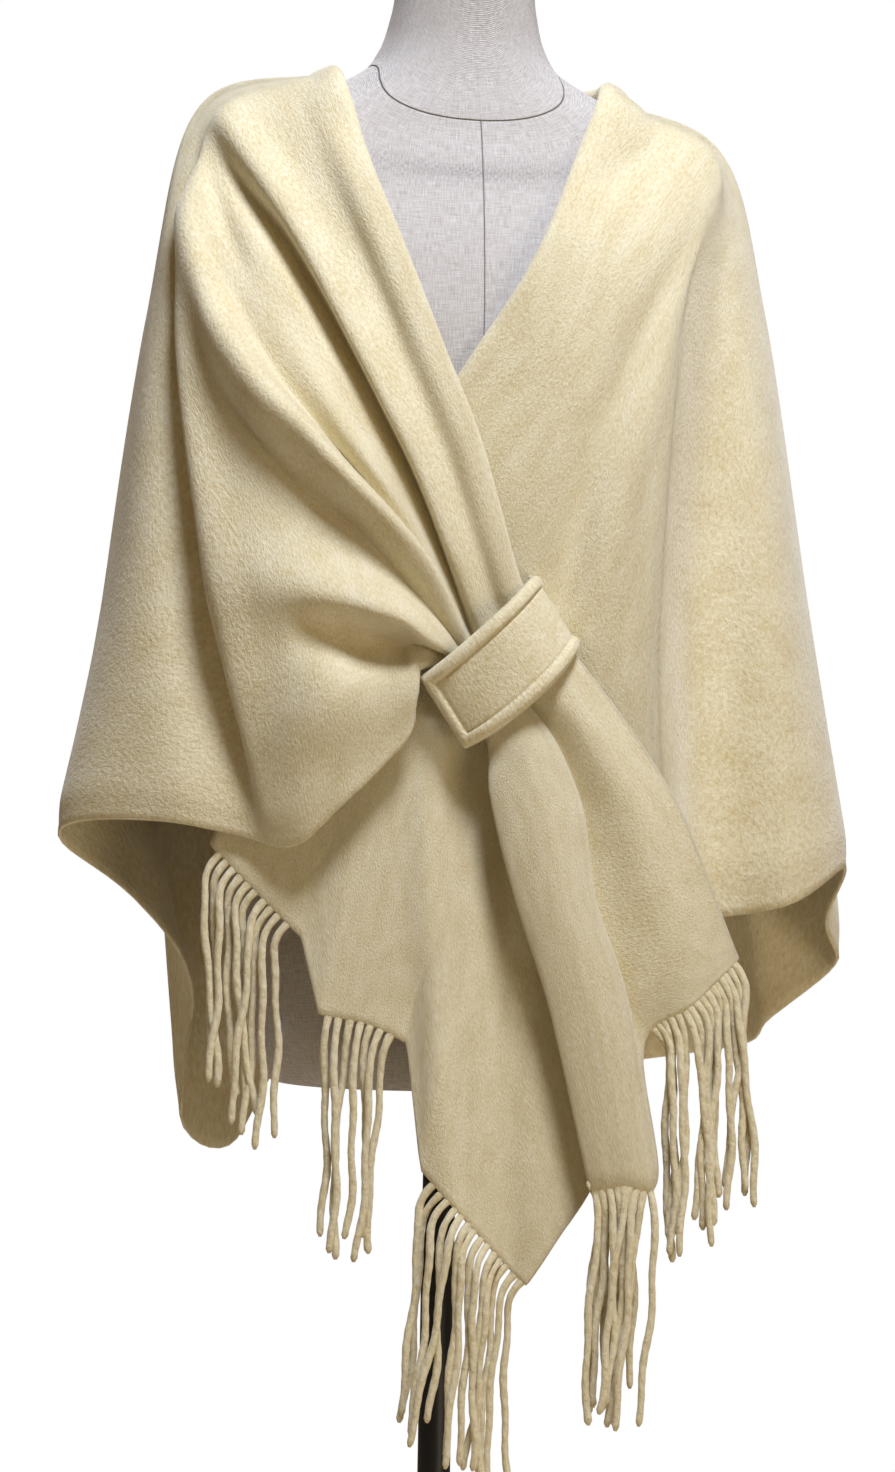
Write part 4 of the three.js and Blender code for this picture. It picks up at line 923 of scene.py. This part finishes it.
class SHAWL_OT_form(bpy.types.Operator):
    """Makes the linen-covered torso and neck, with their seams"""
    bl_idname = "shawl.form"
    bl_label = "Dress form"

    def execute(self, context):
        sizes = context.scene.shawl_form
        front = SEAM_TURN - math.pi / 2
        back = math.pi / 2
        angles = np.linspace(0, 2 * math.pi, sizes.around, endpoint=False) - math.pi
        close = np.array(SEAM_STEPS) / SEAM_ARC
        angles = np.sort(np.unique(np.round(np.concatenate([angles, front + close, back + close]), 5)))
        levels = np.linspace(FORM_BOTTOM, NECK_TOP, FORM_LEVELS)
        heights = np.unique(np.concatenate([levels, NECK_SEAM_Z + np.array(SEAM_STEPS)]))
        ww, aa = (axis.ravel() for axis in np.meshgrid(heights, angles, indexing="ij"))
        tilt = NECK_SEAM_RISE * bell((aa - back) / 0.8) - NECK_SEAM_DROP * bell((aa - front) / 0.7)
        tilt = tilt * (1 - ease(SEAM_HOLD, SEAM_REACH, np.abs(ww - NECK_SEAM_Z)))
        points = form_outline(aa, np.clip(ww + tilt, FORM_BOTTOM, NECK_TOP))
        groove = bell((ww - NECK_SEAM_Z) / SEAM_WIDTH)
        for place in (front, back):
            groove = np.maximum(groove, bell((aa - place) * SEAM_ARC / SEAM_WIDTH) * (ww < NECK_SEAM_Z))
        middle = np.stack([0 * aa, form_at(points[:, 2])[3], points[:, 2]], -1)
        points -= unit(points - middle) * (sizes.seam / MM * groove)[:, None]
        rows, columns = len(heights), len(angles)
        number = np.arange(rows * columns).reshape(rows, columns)
        following = np.roll(number, -1, axis=1)
        walls = np.stack([number[:-1], following[:-1], following[1:], number[1:]], -1)
        faces = walls.reshape(-1, 4).tolist()
        faces.append(number[0][::-1].tolist())
        faces.append(number[-1].tolist())
        waist = points.reshape(rows, columns, 3)[rows // 2]
        around = np.cumsum(np.linalg.norm(np.diff(waist, axis=0, prepend=waist[:1]), axis=1))
        flat = np.stack(np.broadcast_arrays(around[None, :] * MM, heights[:, None] * MM), -1).reshape(-1, 2)
        form = add_piece("form", points, faces, "Cover", flat)
        # The seams' groove mask, along which the linen is painted dark: thread and painted shade.
        form.data.attributes.new("seam", "FLOAT", "POINT").data.foreach_set("value", groove)
        linen = linen_cover("linen cover", sizes.linen, sizes.linen_shade, sizes.seam_thread_and_shade)
        finish_piece(form, linen, "linen_cover", "dress_form")
        return {"FINISHED"}


def start_editing(piece=None):
    """Deselects everything, then selects one piece alone and makes it active."""
    bpy.ops.object.select_all(action="DESELECT")
    if piece:
        piece.select_set(True)
        bpy.context.view_layer.objects.active = piece


def turned_piece(name, centre, profile, sides, soften):
    """A turned piece: a disc at its place, extruded and resized through a profile of (radius, height)."""
    start_editing()
    radius, bottom = profile[0]
    bpy.ops.mesh.primitive_circle_add(vertices=sides, radius=radius, fill_type="NGON",
                                      location=(centre[0], centre[1], bottom))
    piece = bpy.context.active_object
    piece.name = name
    piece.data.name = name
    bpy.ops.object.mode_set(mode="EDIT")
    bpy.ops.mesh.select_all(action="SELECT")
    for (before, low), (after, high) in zip(profile, profile[1:]):
        bpy.ops.mesh.extrude_region_move(TRANSFORM_OT_translate={"value": (0, 0, high - low)})
        bpy.ops.transform.resize(value=(after / before, after / before, 1))
    bpy.ops.mesh.select_all(action="SELECT")
    bpy.ops.mesh.remove_doubles(threshold=1e-6)
    bpy.ops.mesh.normals_make_consistent(inside=False)
    bpy.ops.object.mode_set(mode="OBJECT")
    bpy.ops.object.transform_apply(location=True, rotation=True, scale=True)
    bevel = piece.modifiers.new("soft edges", "BEVEL")
    bevel.width = soften
    bevel.segments = 4
    bevel.limit_method = "ANGLE"
    bpy.ops.object.modifier_apply(modifier=bevel.name)
    bpy.ops.object.shade_smooth_by_angle(angle=math.radians(35))
    return piece


class SHAWL_OT_cap(bpy.types.Operator):
    """Makes the black cap on the neck"""
    bl_idname = "shawl.cap"
    bl_label = "Neck cap"

    def execute(self, context):
        low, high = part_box("neck_cap")
        radius = (high[0] - low[0]) / 2
        centre = ((low[0] + high[0]) / 2, (low[1] + high[1]) / 2)
        bottom = low[2]
        profile = [(radius, bottom), (radius, bottom + CAP_WALL)]
        profile.append((radius - CAP_ROUNDING, bottom + CAP_SHOULDER))
        profile += [(radius * share, high[2] - below) for share, below in CAP_DOME]
        cap = turned_piece("cap", centre, profile, 96, SOFT_EDGE)
        black = context.scene.shawl_stand.black
        finish_piece(cap, powder_coat("lacquered wood cap", black, 0.38), "black_cap", "neck_cap")
        return {"FINISHED"}


class SHAWL_OT_stand(bpy.types.Operator):
    """Makes the pole with its collar, and the round base plate"""
    bl_idname = "shawl.stand"
    bl_label = "Stand"

    def execute(self, context):
        sizes = context.scene.shawl_stand
        steel = powder_coat("powder-coated steel", sizes.black, 0.42)
        low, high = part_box("stand_pole")
        radius = sizes.pole_radius
        collar = high[0]
        bottom = low[2]
        profile = ((collar, bottom), (collar, bottom + 0.006), (collar - 0.003, bottom + 0.012),
                   (radius + 0.002, bottom + COLLAR_SHOULDER), (radius + 0.0015, bottom + COLLAR_TOP),
                   (radius, bottom + COLLAR_TOP + 0.0002), (radius, high[2]))
        pole = turned_piece("pole", (0, 0), profile, 72, 0.001)
        finish_piece(pole, steel, "black_metal", "stand_pole")
        edge = sizes.base_radius
        height = sizes.base_height
        profile = ((edge - 0.002, 0), (edge, 0.002), (edge, height - BASE_EDGE), (edge - BASE_EDGE, height),
                   (edge - BASE_TOP_EDGE, height))
        base = turned_piece("base", (0, 0), profile, 160, SOFT_EDGE)
        finish_piece(base, steel, "black_metal", "stand_base")
        return {"FINISHED"}


def add_light(name, place, size, color, target, power):
    """A round area light in metres and watts, which faces its target."""
    start_editing()
    bpy.ops.object.light_add(type="AREA", location=place)
    light = bpy.context.active_object
    light.name = name
    light.data.shape = "DISK"
    light.data.size = size
    light.data.energy = power
    light.data.color = color
    light.rotation_euler = (Vector(place) - Vector(target)).to_track_quat("Z", "Y").to_euler()


class SHAWL_OT_stage(bpy.types.Operator):
    """Makes the pale floor, the soft studio light and the camera"""
    bl_idname = "shawl.stage"
    bl_label = "Floor, light and camera"

    def execute(self, context):
        sizes = context.scene.shawl_stage
        start_editing()
        bpy.ops.mesh.primitive_circle_add(vertices=128, radius=sizes.floor_radius, fill_type="NGON")
        floor = context.active_object
        floor.name = "floor"
        pale, _, _ = new_material("pale floor", {"Base Color": rgba(sizes.floor), "Roughness": 0.9})
        floor.data.materials.append(pale)
        for light, power in zip(LIGHTS, (sizes.key_power, sizes.fill_power, sizes.back_power)):
            add_light(*light, power)
        world = bpy.data.worlds.new("studio")
        context.scene.world = world
        world.use_nodes = True
        tree = world.node_tree
        background = tree.nodes["Background"]
        seen = add_node(tree, "LightPath").outputs["Is Camera Ray"]
        bright = add_node(tree, "MapRange", {"To Min": sizes.sky, "To Max": 1.0}, {"Value": seen})
        tree.links.new(bright.outputs[0], background.inputs["Strength"])
        colors = {"data_type": "RGBA", 6: rgba(sizes.sky_color), 7: (1, 1, 1, 1)}
        tint = add_node(tree, "Mix", colors, {0: seen})
        tree.links.new(tint.outputs[2], background.inputs["Color"])
        context.scene.view_settings.view_transform = "Standard"
        bpy.ops.object.camera_add()
        camera = context.active_object
        camera.name = "camera"
        camera.data.sensor_width = SENSOR
        camera.data.lens = SENSOR * CAMERA_BACK / (PHOTO_HEIGHT * MM_PER_PIXEL * MM)
        right = Vector((math.cos(CAMERA_YAW), math.sin(CAMERA_YAW), 0))
        back = Vector((math.sin(CAMERA_YAW), -math.cos(CAMERA_YAW), 0))
        up = Vector((0, 0, 1))
        across = right * math.cos(CAMERA_ROLL) + up * math.sin(CAMERA_ROLL)
        upright = up * math.cos(CAMERA_ROLL) - right * math.sin(CAMERA_ROLL)
        place = Matrix((across, upright, back)).transposed().to_4x4()
        place.translation = back * CAMERA_BACK + Vector((0, 0, CAMERA_HEIGHT))
        camera.matrix_world = place
        context.scene.camera = camera
        return {"FINISHED"}


class SHAWL_PT_panel(bpy.types.Panel):
    """Lists the shawl's pieces in the sidebar"""
    bl_idname = "SHAWL_PT_panel"
    bl_label = "Poncho shawl"
    bl_space_type = "VIEW_3D"
    bl_region_type = "UI"
    bl_category = "Shawl"

    def draw(self, context):
        for operator in OPERATORS:
            self.layout.operator(operator.bl_idname)


GROUPS = {"shawl_cloth": ShawlSizes, "shawl_fringe": FringeSizes, "shawl_strap": StrapSizes,
          "shawl_form": FormSizes, "shawl_stand": StandSizes, "shawl_stage": StageSizes}
OPERATORS = (SHAWL_OT_stage, SHAWL_OT_cloth, SHAWL_OT_fringes, SHAWL_OT_strap, SHAWL_OT_form, SHAWL_OT_cap,
             SHAWL_OT_stand)


def register():
    for name, group in GROUPS.items():
        bpy.utils.register_class(group)
        setattr(bpy.types.Scene, name, PointerProperty(type=group))
    for operator in OPERATORS:
        bpy.utils.register_class(operator)
    bpy.utils.register_class(SHAWL_PT_panel)


def unregister():
    bpy.utils.unregister_class(SHAWL_PT_panel)
    for operator in reversed(OPERATORS):
        bpy.utils.unregister_class(operator)
    for name, group in GROUPS.items():
        delattr(bpy.types.Scene, name)
        bpy.utils.unregister_class(group)


def main():
    register()
    for operator in OPERATORS:
        group, name = operator.bl_idname.split(".")
        getattr(getattr(bpy.ops, group), name)()


if __name__ == "__main__":
    main()
